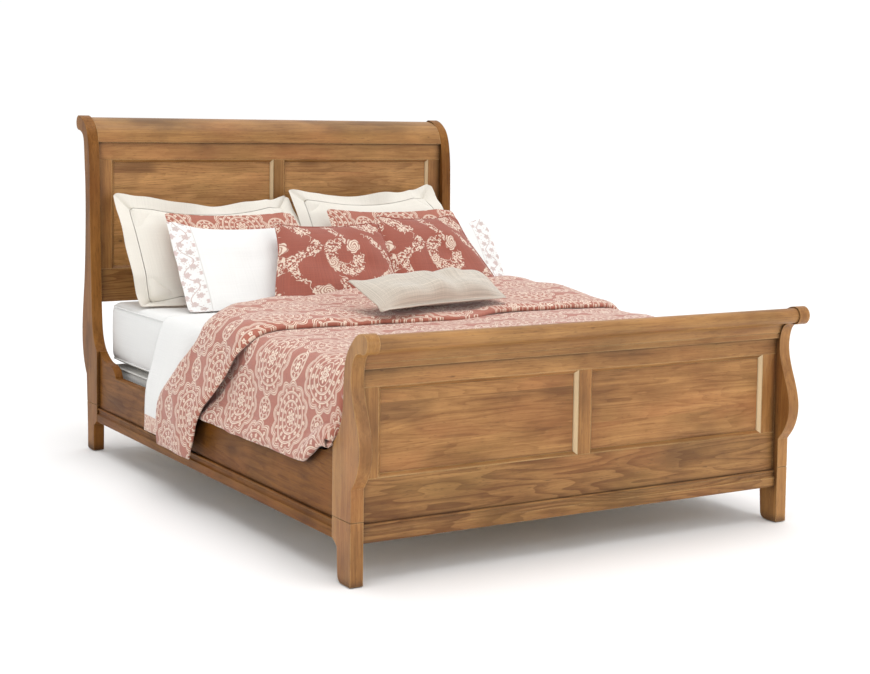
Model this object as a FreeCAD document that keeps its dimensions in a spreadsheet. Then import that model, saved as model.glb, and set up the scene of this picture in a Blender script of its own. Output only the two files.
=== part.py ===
"""Queen-size wooden sleigh bed, dressed with bedding, built as an assembly of separate pieces.

Frame: +Z up, +Y from the foot to the head, +X to the right seen from the foot.
The origin is on the floor under the middle of the bed's outline. Millimetres.
Outlines are drawn in (y, z) with y counted from the front face of the foot legs
("foot datum") or of the head legs ("head datum"), which is how the maker would mark them out.
"""
import FreeCAD, Part
import math
import os
import Sketcher
from FreeCAD import Placement, Rotation, Vector

SIZES = {
    # overall
    "bed_width": 1660.0,            # over the outer faces of the posts
    "rail_length": 2055.0,          # side rail, post block to post block
    "post_thick": 42.0,
    # foot post
    "foot_block_depth": 117.0,      # leg front to block back
    "foot_leg_depth": 80.0,
    "foot_scroll_ahead": 60.0,      # scroll centre in front of the leg
    "foot_scroll_height": 714.0,
    "foot_scroll_radius": 30.0,
    # head post
    "head_block_ahead": 33.0,       # block front in front of the leg
    "head_leg_depth": 75.0,
    "head_scroll_behind": 179.0,
    "head_scroll_height": 1303.0,
    "head_scroll_radius": 29.0,
    # both posts
    "block_top": 404.0,
    "leg_shoulder": 106.0,          # where the leg widens into the block
    "glide_height": 3.0,
    "glide_radius": 12.0,
    "groove_height": 189.0,
    "groove_width": 2.5,
    "groove_depth": 1.5,
    # side rail
    "rail_bottom": 122.5,
    "rail_top": 321.0,
    "rail_thick": 30.0,
    "wing_length": 185.0,
    # base moulding
    "moulding_height": 56.5,
    "moulding_reach": 11.0,
    # framed panels
    "stile_width": 58.0,
    "centre_stile_width": 48.0,
    "bevel": 12.0,
    "tongue": 8.0,
    "panel_thick": 8.0,
    "foot_frame_front": 23.5,
    "foot_frame_thick": 26.0,
    "foot_panel_bottom": 308.0,
    "foot_frame_top": "=foot_scroll_height - 84",
    "foot_panel_top": "=foot_frame_top - 54",
    "foot_roll_radius": 25.0,
    "head_frame_front": 76.0,
    "head_frame_thick": 24.0,
    "head_frame_bottom": 588.0,
    "head_panel_bottom": 720.0,
    "head_frame_top": "=head_scroll_height - 76",
    "head_panel_top": "=head_frame_top - 69",
    "crest_roll_radius": 22.0,
    "lower_rail_front": 34.0,
    "lower_rail_bottom": 150.0,
    "lower_rail_height": 130.0,
    # mattress support
    "ledger_width": 24.0,
    "ledger_height": 30.0,
    "ledger_bottom": 155.0,
    "ledger_gap": 75.0,             # ledger end to rail end
    "slat_thick": 18.0,
    "slat_width": 90.0,
    "slat_count": 5,
    "beam_width": 40.0,
    "beam_height": 68.0,
    "beam_gap": 4.0,                # beam end to the rail that carries it
    "hanger_thick": 3.0,
    "hanger_depth": 45.0,
    "support_leg_width": 44.0,
    "support_leg_bottom": 20.0,
    "support_leg_count": 2,
    "insert_radius": 7.0,
    "insert_length": 14.0,
    "stem_radius": 4.0,
    "stem_length": 38.0,
    "stem_clearance": 0.5,
    "levelling_pad_radius": 16.0,
    "levelling_pad_height": 6.0,
    # steel fittings
    "plate_length": 120.0,
    "plate_height": "=(rail_top - ledger_bottom - ledger_height) * 12 / 17",
    "plate_thick": 3.0,
    "screw_radius": 4.5,
    "screw_head": 2.4,
    # bedding
    "mattress_side_gap": 28.0,      # mattress to side rail
    "mattress_shorter": 25.0,       # than the side rail
    "mattress_past_legs": 5.0,      # head end behind the head legs' front
    "mattress_height": 246.0,
    "foundation_height": 149.0,
    "soft_gap": 0.3,
    "fitted_sheet_thick": 1.5,
    "flat_sheet_thick": 3.0,
    "comforter_thick": 40.0,
    "fold_thick": 36.0,
}

doc = FreeCAD.newDocument("SleighBed")
sheet = doc.addObject("Spreadsheet::Sheet", "Sizes")
for row, (alias, value) in enumerate(SIZES.items(), start=1):
    sheet.set("A%d" % row, alias)
    sheet.set("B%d" % row, str(value))
    sheet.setAlias("B%d" % row, alias)
doc.recompute()


def size(alias):
    """A driving dimension, read back from the sheet."""
    return float(sheet.get(alias))


def cell(alias):
    """The same dimension as an expression reads it."""
    return "Sizes." + alias


NODES = []
HALF_WIDTH = size("bed_width") / 2
POST = size("post_thick")
HEAD = size("foot_block_depth") + size("rail_length") + size("head_block_ahead")
FRONT_END = -size("foot_scroll_ahead") - size("foot_scroll_radius")
BACK_END = HEAD + size("head_scroll_behind") + size("head_scroll_radius")
Y_SHIFT = -(FRONT_END + BACK_END) / 2


def keep(part, label):
    """Name a finished piece, so that it is checked and written."""
    part.Label = label
    NODES.append(part)
    return part


def board(label, start, spans, final=True):
    """A plain board: start corner (x, y, z) and its three sizes, numbers or sheet expressions."""
    box = doc.addObject("Part::Box", label)
    for side, span in zip(("Length", "Width", "Height"), spans):
        if isinstance(span, str):
            box.setExpression(side, span)
        else:
            setattr(box, side, span)
    box.Placement = Placement(Vector(start[0], start[1] + Y_SHIFT, start[2]), Rotation())
    return keep(box, label) if final else box


def cut(label, base, tool, final=True):
    """A piece with another shape taken out of it."""
    result = doc.addObject("Part::Cut", label)
    result.Base = base
    result.Tool = tool
    return keep(result, label) if final else result


def group(name, parts):
    """Several shapes used as one cutting tool."""
    compound = doc.addObject("Part::Compound", name)
    compound.Links = parts
    return compound


def solid_node(label, shape):
    """A piece whose shape is made directly, already in the bed's frame but for the y shift."""
    feature = doc.addObject("Part::Feature", label)
    feature.Shape = shape
    feature.Placement = Placement(Vector(0, Y_SHIFT, 0), Rotation())
    return keep(feature, label)


def points(pairs):
    return [Vector(a, b, 0) for a, b in pairs]


def line(a, b):
    return Part.LineSegment(*points((a, b)))


def arc(a, middle, b):
    return Part.Arc(*points((a, middle, b)))


def spline(*pairs):
    curve = Part.BSplineCurve()
    curve.interpolate(points(pairs))
    return curve


def lines(*pairs):
    return [line(a, b) for a, b in zip(pairs, pairs[1:])]


def padded_outline(label, curves, length, x_start, y_start=0.0, plane="YZ_Plane", final=True):
    """A piece sawn or planed to an outline: a closed sketch, padded along X (or Y on the XZ plane)."""
    body = doc.addObject("PartDesign::Body", label)
    outline = body.newObject("Sketcher::SketchObject", label + "_outline")
    origin_plane = next(f for f in body.Origin.OriginFeatures if f.Role == plane)
    outline.AttachmentSupport = [(origin_plane, "")]
    outline.MapMode = "FlatFace"
    for curve in curves:
        outline.addGeometry(curve, False)
        outline.addConstraint(Sketcher.Constraint("Block", outline.GeometryCount - 1))
    pad = body.newObject("PartDesign::Pad", label + "_pad")
    pad.Profile = outline
    if isinstance(length, str):
        pad.setExpression("Length", length)
    else:
        pad.Length = length
    pad.Reversed = plane == "XZ_Plane"
    body.Placement = Placement(Vector(x_start, y_start + Y_SHIFT, 0), Rotation())
    return keep(body, label) if final else body


def between(low, high, share):
    return low + (high - low) * share


# ---------------------------------------------------------------- posts


def foot_post_outline():
    """Sleigh-shaped foot post: leg, block, belly and a scroll that curls forward."""
    floor = size("glide_height")
    shoulder = size("leg_shoulder")
    block = size("foot_block_depth")
    leg = size("foot_leg_depth")
    top = size("block_top")
    cy, cz, r = -size("foot_scroll_ahead"), size("foot_scroll_height"), size("foot_scroll_radius")

    def z(share):
        """Height between the top of the block and the centre of the scroll."""
        return between(top, cz, share)
    notch = top - 116
    front = [line((0, floor), (0, notch)), line((0, notch), (-7, notch + 9)),
             spline((-7, notch + 9), (-35, notch + 50), (-49, top + 2), (-42, z(0.14)), (-12, z(0.40)),
                    (5, z(0.62)), (2, z(0.76)), (-14, z(0.87)), (cy + 12, cz - r + 1.5), (cy, cz - r))]
    scroll = [arc((cy, cz - r), (cy - r, cz), (cy, cz + r))]
    back = [spline((cy, cz + r), (cy + 30, cz + r - 7), (4, z(0.99)), (39, z(0.84)), (51, z(0.65)),
                   (54, z(0.42)), (62, z(0.26)), (86, z(0.105)), (block, top))]
    foot = lines((block, top), (block, shoulder + 22), (leg + 6, shoulder), (leg, floor + 18))
    heel = [arc((leg, floor + 18), (leg - 8, floor + 5), (leg - 26, floor)), line((leg - 26, floor), (0, floor))]
    return front + scroll + back + foot + heel


def head_post_outline():
    """Tall sleigh-shaped head post: leg, block, back belly and a scroll that curls backward."""
    floor = size("glide_height")
    shoulder = size("leg_shoulder")
    block = -size("head_block_ahead")
    leg = size("head_leg_depth")
    top = size("block_top")
    cy, cz, r = size("head_scroll_behind"), size("head_scroll_height"), size("head_scroll_radius")

    def z(share):
        return between(top, cz, share)
    notch = top - 105
    leg_front = lines((leg - 12, floor), (6, floor), (4, shoulder), (block, shoulder + 22), (block, top))
    front = [spline((block, top), (10, z(0.07)), (21, z(0.13)), (31, z(0.28)), (42, z(0.50)), (47, z(0.72)),
                    (58, z(0.885)), (89, cz - 21), (134, cz + r - 14), (cy, cz + r))]
    scroll = [arc((cy, cz + r), (cy + r, cz), (cy, cz - r))]
    back = [spline((cy, cz - r), (cy - 22, cz - r - 4), (cy - 47, cz - r - 17), (114, z(0.885)), (101, z(0.72)),
                   (101, z(0.50)), (115, z(0.30)), (140, z(0.085)), (131, top - 19), (89, notch))]
    leg_back = lines((89, notch), (leg, shoulder - 22), (leg, floor + 12))
    heel = [arc((leg, floor + 12), (leg - 3.5, floor + 3.5), (leg - 12, floor))]
    return leg_front + front + scroll + back + leg_back + heel


def grooved_post(label, outline, left, datum, front, back):
    """A post with the fine scribed line that crosses its outer and front faces above the leg."""
    x = -HALF_WIDTH if left else HALF_WIDTH - POST
    depth = size("groove_depth")
    low = size("groove_height")
    wide = size("groove_width")
    post = padded_outline(label + "_blank", outline, cell("post_thick"), x, datum, final=False)
    outer_x = x - 1 if left else x + POST - depth
    outer = board(label + "_outer_groove", (outer_x, datum + front - 5, low),
                  (depth + 1, back - front + 10, wide), final=False)
    face = board(label + "_front_groove", (x - 1, datum + front - 5, low), (POST + 2, depth + 5, wide), final=False)
    return cut(label, post, group(label + "_grooves", [outer, face]))


for side_name, is_left in (("left", True), ("right", False)):
    grooved_post("foot_post_" + side_name, foot_post_outline(), is_left, 0, 0, size("foot_block_depth"))
    grooved_post("head_post_" + side_name, head_post_outline(), is_left, HEAD, -size("head_block_ahead"), 95)


def post_glides():
    """A nylon glide under each leg."""
    r = size("glide_radius")
    x = HALF_WIDTH - POST / 2
    discs = []
    for y in (size("foot_leg_depth") / 2 - 8, HEAD + size("head_leg_depth") / 2):
        for side in (-1, 1):
            discs.append(Part.makeCylinder(r, size("glide_height"), Vector(side * x, y, 0)))
    return solid_node("post_glides", Part.makeCompound(discs))


post_glides()

# ---------------------------------------------------------------- framed boards of the head and foot

INNER = HALF_WIDTH - POST
INNER_SPAN = cell("bed_width") + " - 2 * " + cell("post_thick")
PANEL_LEFT = -INNER + size("stile_width")
CENTRE_HALF = size("centre_stile_width") / 2
OPENINGS = ((PANEL_LEFT, -CENTRE_HALF), (CENTRE_HALF, -PANEL_LEFT))


def mitred_strip(start, end, inward, y_face):
    """One bevelled bead with mitred ends; start and end are (x, z), inward is the way to the panel."""
    b = size("bevel")
    along = Vector(end[0] - start[0], 0, end[1] - start[1]).normalize()
    a = Vector(start[0], y_face, start[1])
    c = Vector(end[0], y_face, end[1])
    deep = Vector(0, b, 0)
    step = Vector(inward[0], 0, inward[1]) * b
    inner_a = a + deep + step + along * b
    inner_c = c + deep + step - along * b
    faces = [(a, c, c + deep, a + deep), (a + deep, c + deep, inner_c, inner_a), (a, inner_a, inner_c, c),
             (a, a + deep, inner_a), (c, inner_c, c + deep)]
    shell = Part.makeShell([Part.Face(Part.makePolygon(list(f) + [f[0]])) for f in faces])
    solid = Part.makeSolid(shell)
    if solid.Volume < 0:
        solid.reverse()
    return solid


def panel_beads(x0, x1, z0, z1, y_face):
    """The four mitred beads around one panel."""
    corners = [(x0, z0), (x1, z0), (x1, z1), (x0, z1)]
    ways = [(0, 1), (-1, 0), (0, -1), (1, 0)]
    return [mitred_strip(corners[i], corners[(i + 1) % 4], ways[i], y_face) for i in range(4)]


def framed_board(name, y_front, thick_alias, z_low, z_panel_low, z_panel_high, z_high):
    """Rails, stiles and two floating panels; the tongues of the panels sit in grooves of the frame."""
    thick = cell(thick_alias)
    tongue = size("tongue")
    y_panel = y_front + size("bevel")
    grooves = [board("%s_groove_%d" % (name, i), (x0 - tongue, y_panel, z_panel_low - tongue),
                     (x1 - x0 + 2 * tongue, cell("panel_thick"), z_panel_high - z_panel_low + 2 * tongue),
                     final=False)
               for i, (x0, x1) in enumerate(OPENINGS)]
    tool = group(name + "_panel_grooves", grooves)
    high = z_panel_high - z_panel_low
    members = {
        "bottom_rail": ((-INNER, y_front, z_low), (INNER_SPAN, thick, z_panel_low - z_low)),
        "top_rail": ((-INNER, y_front, z_panel_high), (INNER_SPAN, thick, z_high - z_panel_high)),
        "stile_left": ((-INNER, y_front, z_panel_low), (cell("stile_width"), thick, high)),
        "stile_right": ((-PANEL_LEFT, y_front, z_panel_low), (cell("stile_width"), thick, high)),
        "centre_stile": ((-CENTRE_HALF, y_front, z_panel_low), (cell("centre_stile_width"), thick, high)),
    }
    for member, (start, spans) in members.items():
        label = "%s_%s" % (name, member)
        cut(label, board(label + "_blank", start, spans, final=False), tool)
    beads = []
    for side, (x0, x1) in zip(("left", "right"), OPENINGS):
        board("%s_panel_%s" % (name, side), (x0 - tongue, y_panel, z_panel_low - tongue),
              (x1 - x0 + 2 * tongue, cell("panel_thick"), high + 2 * tongue))
        beads += panel_beads(x0, x1, z_panel_low, z_panel_high, y_front)
    solid_node(name + "_panel_beads", Part.makeCompound(beads))


framed_board("foot", size("foot_frame_front"), "foot_frame_thick", size("rail_bottom"),
             size("foot_panel_bottom"), size("foot_panel_top"), size("foot_frame_top"))
framed_board("head", HEAD + size("head_frame_front"), "head_frame_thick", size("head_frame_bottom"),
             size("head_panel_bottom"), size("head_panel_top"), size("head_frame_top"))


def foot_roll():
    """The round top rail of the footboard, between the scrolls of the posts."""
    roll = doc.addObject("Part::Cylinder", "foot_roll")
    roll.setExpression("Radius", cell("foot_roll_radius"))
    roll.setExpression("Height", INNER_SPAN)
    roll.Placement = Placement(Vector(-INNER, Y_SHIFT - size("foot_scroll_ahead"), size("foot_scroll_height")),
                               Rotation(Vector(0, 1, 0), 90))
    return keep(roll, "foot_roll")


def foot_cove():
    """The coved cap that joins the roll to the foot frame and carries a fillet along its lower edge."""
    cy, cz, r = -size("foot_scroll_ahead"), size("foot_scroll_height"), size("foot_roll_radius")
    low = size("foot_frame_top")
    back = size("foot_frame_front") + size("foot_frame_thick")
    lip = size("foot_frame_front") - 14

    def on_roll(degrees):
        turn = math.radians(degrees)
        return (cy + r * math.cos(turn), cz + r * math.sin(turn))
    front = lines((lip, low), (lip, low + 17), (lip - 4, low + 20))
    cove = [spline((lip - 4, low + 20), (lip - 9, low + 36), on_roll(-52))]
    seat = [arc(on_roll(-52), on_roll(0), on_roll(66))]
    top = [spline(on_roll(66), (-24, cz + 12), (8, cz - 14), (32, cz - 48), (back - 6, low + 10), (back, low))]
    return padded_outline("foot_cove_rail", front + cove + seat + top + [line((back, low), (lip, low))],
                          INNER_SPAN, -INNER)


def head_crest():
    """The crest of the headboard: a broad swell that rolls over backward between the posts' scrolls."""
    cy, cz, r = size("head_scroll_behind"), size("head_scroll_height"), size("crest_roll_radius")
    low = size("head_frame_top")
    lip = size("head_frame_front") - 10
    swell = [line((lip, low), (lip, low + 6)),
             spline((lip, low + 6), (lip + 6, low + 26), (lip + 24, cz - 18), (lip + 66, cz + 11), (cy, cz + r))]
    roll = [arc((cy, cz + r), (cy + r, cz), (cy, cz - r))]
    under = [spline((cy, cz - r), (cy - 20, cz - r - 5), (cy - 44, cz - r - 25), (cy - 62, low))]
    return padded_outline("head_crest_rail", swell + roll + under + [line((cy - 62, low), (lip, low))],
                          INNER_SPAN, -INNER, HEAD)


foot_roll()
foot_cove()
head_crest()
board("head_lower_rail", (-INNER, HEAD + size("lower_rail_front"), size("lower_rail_bottom")),
      (INNER_SPAN, cell("head_frame_thick"), cell("lower_rail_height")))

# ---------------------------------------------------------------- base mouldings and side rails


def moulding_outline(face, way):
    """Bead, cove and round-edged band; face is where it is glued on, way is -1 or 1 for outward."""
    low, high, reach = size("rail_bottom"), size("moulding_height"), size("moulding_reach")
    top = low + high

    def at(out, z):
        return (face + way * out, z)
    return [line(at(0, low), at(reach - 4, low)),
            arc(at(reach - 4, low), at(reach - 1.2, low + 1.2), at(reach, low + 4)),
            line(at(reach, low + 4), at(reach, top - 26)),
            arc(at(reach, top - 26), at(reach - 4.5, top - 21.5), at(reach - 6, top - 14)),
            line(at(reach - 6, top - 14), at(reach - 6, top - 8)),
            arc(at(reach - 6, top - 8), at(reach - 2, top - 4), at(reach - 6, top)),
            line(at(reach - 6, top), at(0, top)),
            line(at(0, top), at(0, low))]


padded_outline("foot_base_moulding", moulding_outline(size("foot_frame_front"), -1), INNER_SPAN, -INNER)

RAIL_FACE = INNER + size("rail_thick")
RAIL_START = size("foot_block_depth")


def rail_outline():
    """Side rail with an ogee wing that rises to the block of the post at each end."""
    low, top, high = size("rail_bottom"), size("rail_top"), size("block_top")
    wing, length = size("wing_length"), size("rail_length")
    step = high - top

    def wing_points():
        return [(0, high), (22, high - 0.16 * step), (60, high - 0.37 * step), (105, high - 0.46 * step),
                (wing - 45, high - 0.52 * step), (wing - 18, high - 0.72 * step), (wing, top)]
    near = wing_points()
    far = [(length - y, z) for y, z in reversed(near)]
    return [line((0, low), (0, high)), spline(*near), line((wing, top), (length - wing, top)), spline(*far),
            line((length, high), (length, low)), line((length, low), (0, low))]


for side_name, way in (("left", -1), ("right", 1)):
    inner_x = -RAIL_FACE if way < 0 else INNER
    padded_outline("side_rail_" + side_name, rail_outline(), cell("rail_thick"), inner_x, RAIL_START)
    padded_outline("rail_moulding_" + side_name, moulding_outline(way * RAIL_FACE, way), cell("rail_length"),
                   0, RAIL_START, "XZ_Plane")
    ledger_x = -INNER if way < 0 else INNER - size("ledger_width")
    board("ledger_" + side_name, (ledger_x, RAIL_START + size("ledger_gap"), size("ledger_bottom")),
          (cell("ledger_width"), cell("rail_length") + " - 2 * " + cell("ledger_gap"), cell("ledger_height")))

# ---------------------------------------------------------------- steel fittings

PLATE_LOW = size("ledger_bottom") + 30


def joint_plates():
    """Four steel plates across the joints of rails and posts; returns the heads of their screws."""
    length, high, thick = size("plate_length"), size("plate_height"), size("plate_thick")
    plates = []
    heads = []
    for joint in (RAIL_START, RAIL_START + size("rail_length")):
        for way in (-1, 1):
            x = -INNER if way < 0 else INNER - thick
            plates.append(Part.makeBox(thick, length, high, Vector(x, joint - length / 2, PLATE_LOW)))
            face = -INNER + thick if way < 0 else INNER - thick
            for dy in (-0.36, -0.12, 0.12, 0.36):
                for dz in (0.2, 0.8):
                    spot = Vector(face, joint + dy * length, PLATE_LOW + dz * high)
                    heads.append(Part.makeCylinder(size("screw_radius"), size("screw_head"), spot,
                                                   Vector(-way, 0, 0)))
    solid_node("rail_joint_plates", Part.makeCompound(plates))
    return heads


def ledger_screws():
    """The screw heads along the inner face of each ledger."""
    length = size("rail_length") - 2 * size("ledger_gap")
    count = 8
    heads = []
    for way in (-1, 1):
        face = way * (INNER - size("ledger_width"))
        for i in range(count):
            y = RAIL_START + size("ledger_gap") + length * (i + 0.5) / count
            heads.append(Part.makeCylinder(size("screw_radius"), size("screw_head"),
                                           Vector(face, y, size("ledger_bottom") + size("ledger_height") / 2),
                                           Vector(-way, 0, 0)))
    return heads


solid_node("wood_screws", Part.makeCompound(joint_plates() + ledger_screws()))

# ---------------------------------------------------------------- slats, centre beam and its legs

SLAT_LOW = size("ledger_bottom") + size("ledger_height")
SLAT_TOP = SLAT_LOW + size("slat_thick")
BEAM_LOW = SLAT_LOW - size("beam_height")
BEAM_FRONT = size("foot_frame_front") + size("foot_frame_thick") + size("hanger_thick") + size("beam_gap")
BEAM_BACK = HEAD + size("lower_rail_front") - size("hanger_thick") - size("beam_gap")
SLAT_ZONE = (RAIL_START + size("ledger_gap") + 20, RAIL_START + size("rail_length") - size("ledger_gap") - 20)


def slats():
    count = int(size("slat_count"))
    pitch = (SLAT_ZONE[1] - SLAT_ZONE[0] - size("slat_width")) / (count - 1)
    for i in range(count):
        board("slat_%d" % (i + 1), (-INNER + 2, SLAT_ZONE[0] + i * pitch, SLAT_LOW),
              (INNER_SPAN + " - 4", cell("slat_width"), cell("slat_thick")))


def hanger(y_wall, way):
    """A bent steel stirrup that holds one end of the beam; way points from the wall to the beam."""
    thick, deep, wide = size("hanger_thick"), size("hanger_depth"), size("beam_width")
    half = wide / 2 + size("soft_gap")
    y0 = y_wall if way > 0 else y_wall - deep
    low = BEAM_LOW - size("soft_gap") - thick
    high = size("beam_height") * 0.8
    outer = Part.makeBox(2 * (half + thick), deep, high, Vector(-half - thick, y0, low))
    hollow_y = y0 + thick if way > 0 else y0 - 1
    hollow = Part.makeBox(2 * half, deep - thick + 1, high, Vector(-half, hollow_y, low + thick))
    return outer.cut(hollow)


def support_legs():
    """Square legs under the beam, each with a threaded insert and a levelling foot that screws in and out."""
    count = int(size("support_leg_count"))
    wide, low = size("support_leg_width"), size("support_leg_bottom")
    bore = size("stem_radius") + size("stem_clearance")
    pad_top = size("levelling_pad_height")
    inserts = []
    for i in range(count):
        y = between(BEAM_FRONT, BEAM_BACK, (i + 0.5) / count)
        block = Part.makeBox(wide, wide, BEAM_LOW - low, Vector(-wide / 2, y - wide / 2, low))
        insert_hole = Part.makeCylinder(size("insert_radius"), size("insert_length"), Vector(0, y, low))
        stem_hole = Part.makeCylinder(bore, pad_top + size("stem_length") + 16 - low, Vector(0, y, low))
        solid_node("support_leg_%d" % (i + 1), block.cut(insert_hole).cut(stem_hole))
        inserts.append(insert_hole.cut(stem_hole))
        pad = Part.makeCylinder(size("levelling_pad_radius"), pad_top, Vector(0, y, 0))
        stem = Part.makeCylinder(size("stem_radius"), size("stem_length"), Vector(0, y, pad_top))
        solid_node("levelling_foot_%d" % (i + 1), pad.fuse(stem).removeSplitter())
    solid_node("threaded_inserts", Part.makeCompound(inserts))


slats()
board("centre_beam", (-size("beam_width") / 2, BEAM_FRONT, BEAM_LOW),
      (cell("beam_width"), BEAM_BACK - BEAM_FRONT, cell("beam_height")))
solid_node("beam_hangers", Part.makeCompound([hanger(size("foot_frame_front") + size("foot_frame_thick"), 1),
                                              hanger(HEAD + size("lower_rail_front"), -1)]))
support_legs()

# ---------------------------------------------------------------- mattress and sheets

GAP = size("soft_gap")
MATTRESS_HALF = INNER - size("mattress_side_gap")
MATTRESS_LENGTH = size("rail_length") - size("mattress_shorter")
MATTRESS_Y = HEAD + size("mattress_past_legs") - MATTRESS_LENGTH
FOUNDATION_LOW = SLAT_TOP + GAP
MATTRESS_LOW = FOUNDATION_LOW + size("foundation_height") + GAP
MATTRESS_TOP = MATTRESS_LOW + size("mattress_height")
FITTED_TOP = MATTRESS_TOP + GAP + size("fitted_sheet_thick")
FLAT_LOW = FITTED_TOP + GAP
FLAT_TOP = FLAT_LOW + size("flat_sheet_thick")
COMFORTER_LOW = FLAT_TOP + GAP
COMFORTER_TOP = COMFORTER_LOW + size("comforter_thick")
FOLD_TOP = COMFORTER_TOP + size("fold_thick")


def rounded_block(label, start, spans, radius):
    """A soft block with its upright edges rounded."""
    block = Part.makeBox(*spans, Vector(*start))
    upright = [e for e in block.Edges if abs(e.tangentAt(e.FirstParameter).z) > 0.9]
    return solid_node(label, block.makeFillet(radius, upright))


def mattress_set():
    width, length = 2 * MATTRESS_HALF, MATTRESS_LENGTH
    corner = 60.0
    rounded_block("foundation", (-MATTRESS_HALF, MATTRESS_Y, FOUNDATION_LOW),
                  (width, length, size("foundation_height")), corner)
    rounded_block("mattress", (-MATTRESS_HALF, MATTRESS_Y, MATTRESS_LOW),
                  (width, length, size("mattress_height")), corner)
    skin = size("fitted_sheet_thick") + GAP
    shells = []
    for grow, top in ((skin, FITTED_TOP), (GAP, MATTRESS_TOP + GAP)):
        block = Part.makeBox(width + 2 * grow, length + 2 * grow, top - MATTRESS_LOW,
                             Vector(-MATTRESS_HALF - grow, MATTRESS_Y - grow, MATTRESS_LOW))
        upright = [e for e in block.Edges if abs(e.tangentAt(e.FirstParameter).z) > 0.9]
        shells.append(block.makeFillet(corner + grow, upright))
    solid_node("fitted_sheet", shells[0].cut(shells[1]))


def draped(outer, inner, y0, y1):
    """Cloth laid over the bed and down both sides: outer and inner left-hand outlines, mirrored."""
    left = outer + [(-x, z) for x, z in reversed(outer)] + [(-x, z) for x, z in inner]
    corners = [Vector(x, y0, z) for x, z in left + list(reversed(inner))]
    face = Part.Face(Part.makePolygon(corners + [corners[0]]))
    return face.extrude(Vector(0, y1 - y0, 0))


def bed_covers():
    """Flat sheet, and the comforter with its head end folded back over itself."""
    rail_outside = HALF_WIDTH
    edge = MATTRESS_HALF + size("fitted_sheet_thick") + 2 * GAP
    sheet_end, sheet_hem = HEAD - 565, size("rail_bottom") + size("moulding_height") + 6
    sheet_slab = Part.makeBox(2 * edge, sheet_end - MATTRESS_Y, FLAT_TOP - FLAT_LOW,
                              Vector(-edge, MATTRESS_Y, FLAT_LOW))
    thin = FLAT_TOP - FLAT_LOW
    out = rail_outside + 22
    drop = [(-out, sheet_hem), (-out, size("rail_top") + 14), (-edge - 26, FLAT_TOP - 4),
            (-edge - 16, FLAT_TOP)]
    drop_inner = [(-out + thin, sheet_hem), (-out + thin, size("rail_top") + 13.5),
                  (-edge - 23, FLAT_LOW - 3.5), (-edge - 14, FLAT_LOW)]
    hang = draped(drop, drop_inner, sheet_end - 135, sheet_end)
    solid_node("flat_sheet", sheet_slab.fuse(hang).removeSplitter())

    side = edge + 46
    main = draped([(-side, size("rail_top") + 4), (-side, COMFORTER_TOP - 18), (-side + 18, COMFORTER_TOP)],
                  [(-edge - GAP, size("rail_top") + 4), (-edge - GAP, COMFORTER_LOW)],
                  size("foot_frame_front") + size("foot_frame_thick") + 7, HEAD - 905)
    hem, fold_hem = rail_outside + 24, sheet_hem - 20
    fold = draped([(-hem - 12, fold_hem), (-hem - 12, size("rail_top") + 22), (-side - 4, FOLD_TOP - 22),
                   (-side + 16, FOLD_TOP)],
                  [(-hem, fold_hem), (-hem, size("rail_top") + 20), (-edge - 18, COMFORTER_LOW - 6),
                   (-edge - 10, COMFORTER_LOW)], HEAD - 1415, HEAD - 705)
    comforter = main.fuse(fold)
    rail_inside = INNER - 1.5
    for way in (-1, 1):
        x0 = -HALF_WIDTH - 60 if way < 0 else rail_inside
        wide = HALF_WIDTH + 60 - rail_inside
        comforter = comforter.cut(Part.makeBox(wide, RAIL_START + 5, 800, Vector(x0, 0, 0)))
        comforter = comforter.cut(Part.makeBox(wide, RAIL_START + size("wing_length") + 5,
                                               size("block_top") + 4, Vector(x0, 0, 0)))
    solid_node("comforter", comforter.removeSplitter())


mattress_set()
bed_covers()

# ---------------------------------------------------------------- pillows and cushions

LEAN = math.radians(54)


def leaning_pillow(label, x0, x1, y_back, thick, z_low, z_high, lean=LEAN, round_top=30.0, turn=0.0):
    """A pillow that leans back: a sloping block with a flat foot and a rounded upper edge.
    turn swings it round, in degrees, about the middle of its foot's front edge."""
    run = (z_high - z_low) / math.tan(lean)
    corners = [Vector(x0, y_back - thick, z_low), Vector(x0, y_back, z_low),
               Vector(x0, y_back + run, z_high), Vector(x0, y_back - thick + run, z_high)]
    block = Part.Face(Part.makePolygon(corners + [corners[0]])).extrude(Vector(x1 - x0, 0, 0))
    upper = [e for e in block.Edges if min(v.Z for v in e.Vertexes) > z_high - 1
             and abs(e.tangentAt(e.FirstParameter).x) > 0.9]
    block = block.makeFillet(round_top, upper)
    block.rotate(Vector((x0 + x1) / 2, y_back - thick, z_low), Vector(0, 0, 1), turn)
    return solid_node(label, block)


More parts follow.
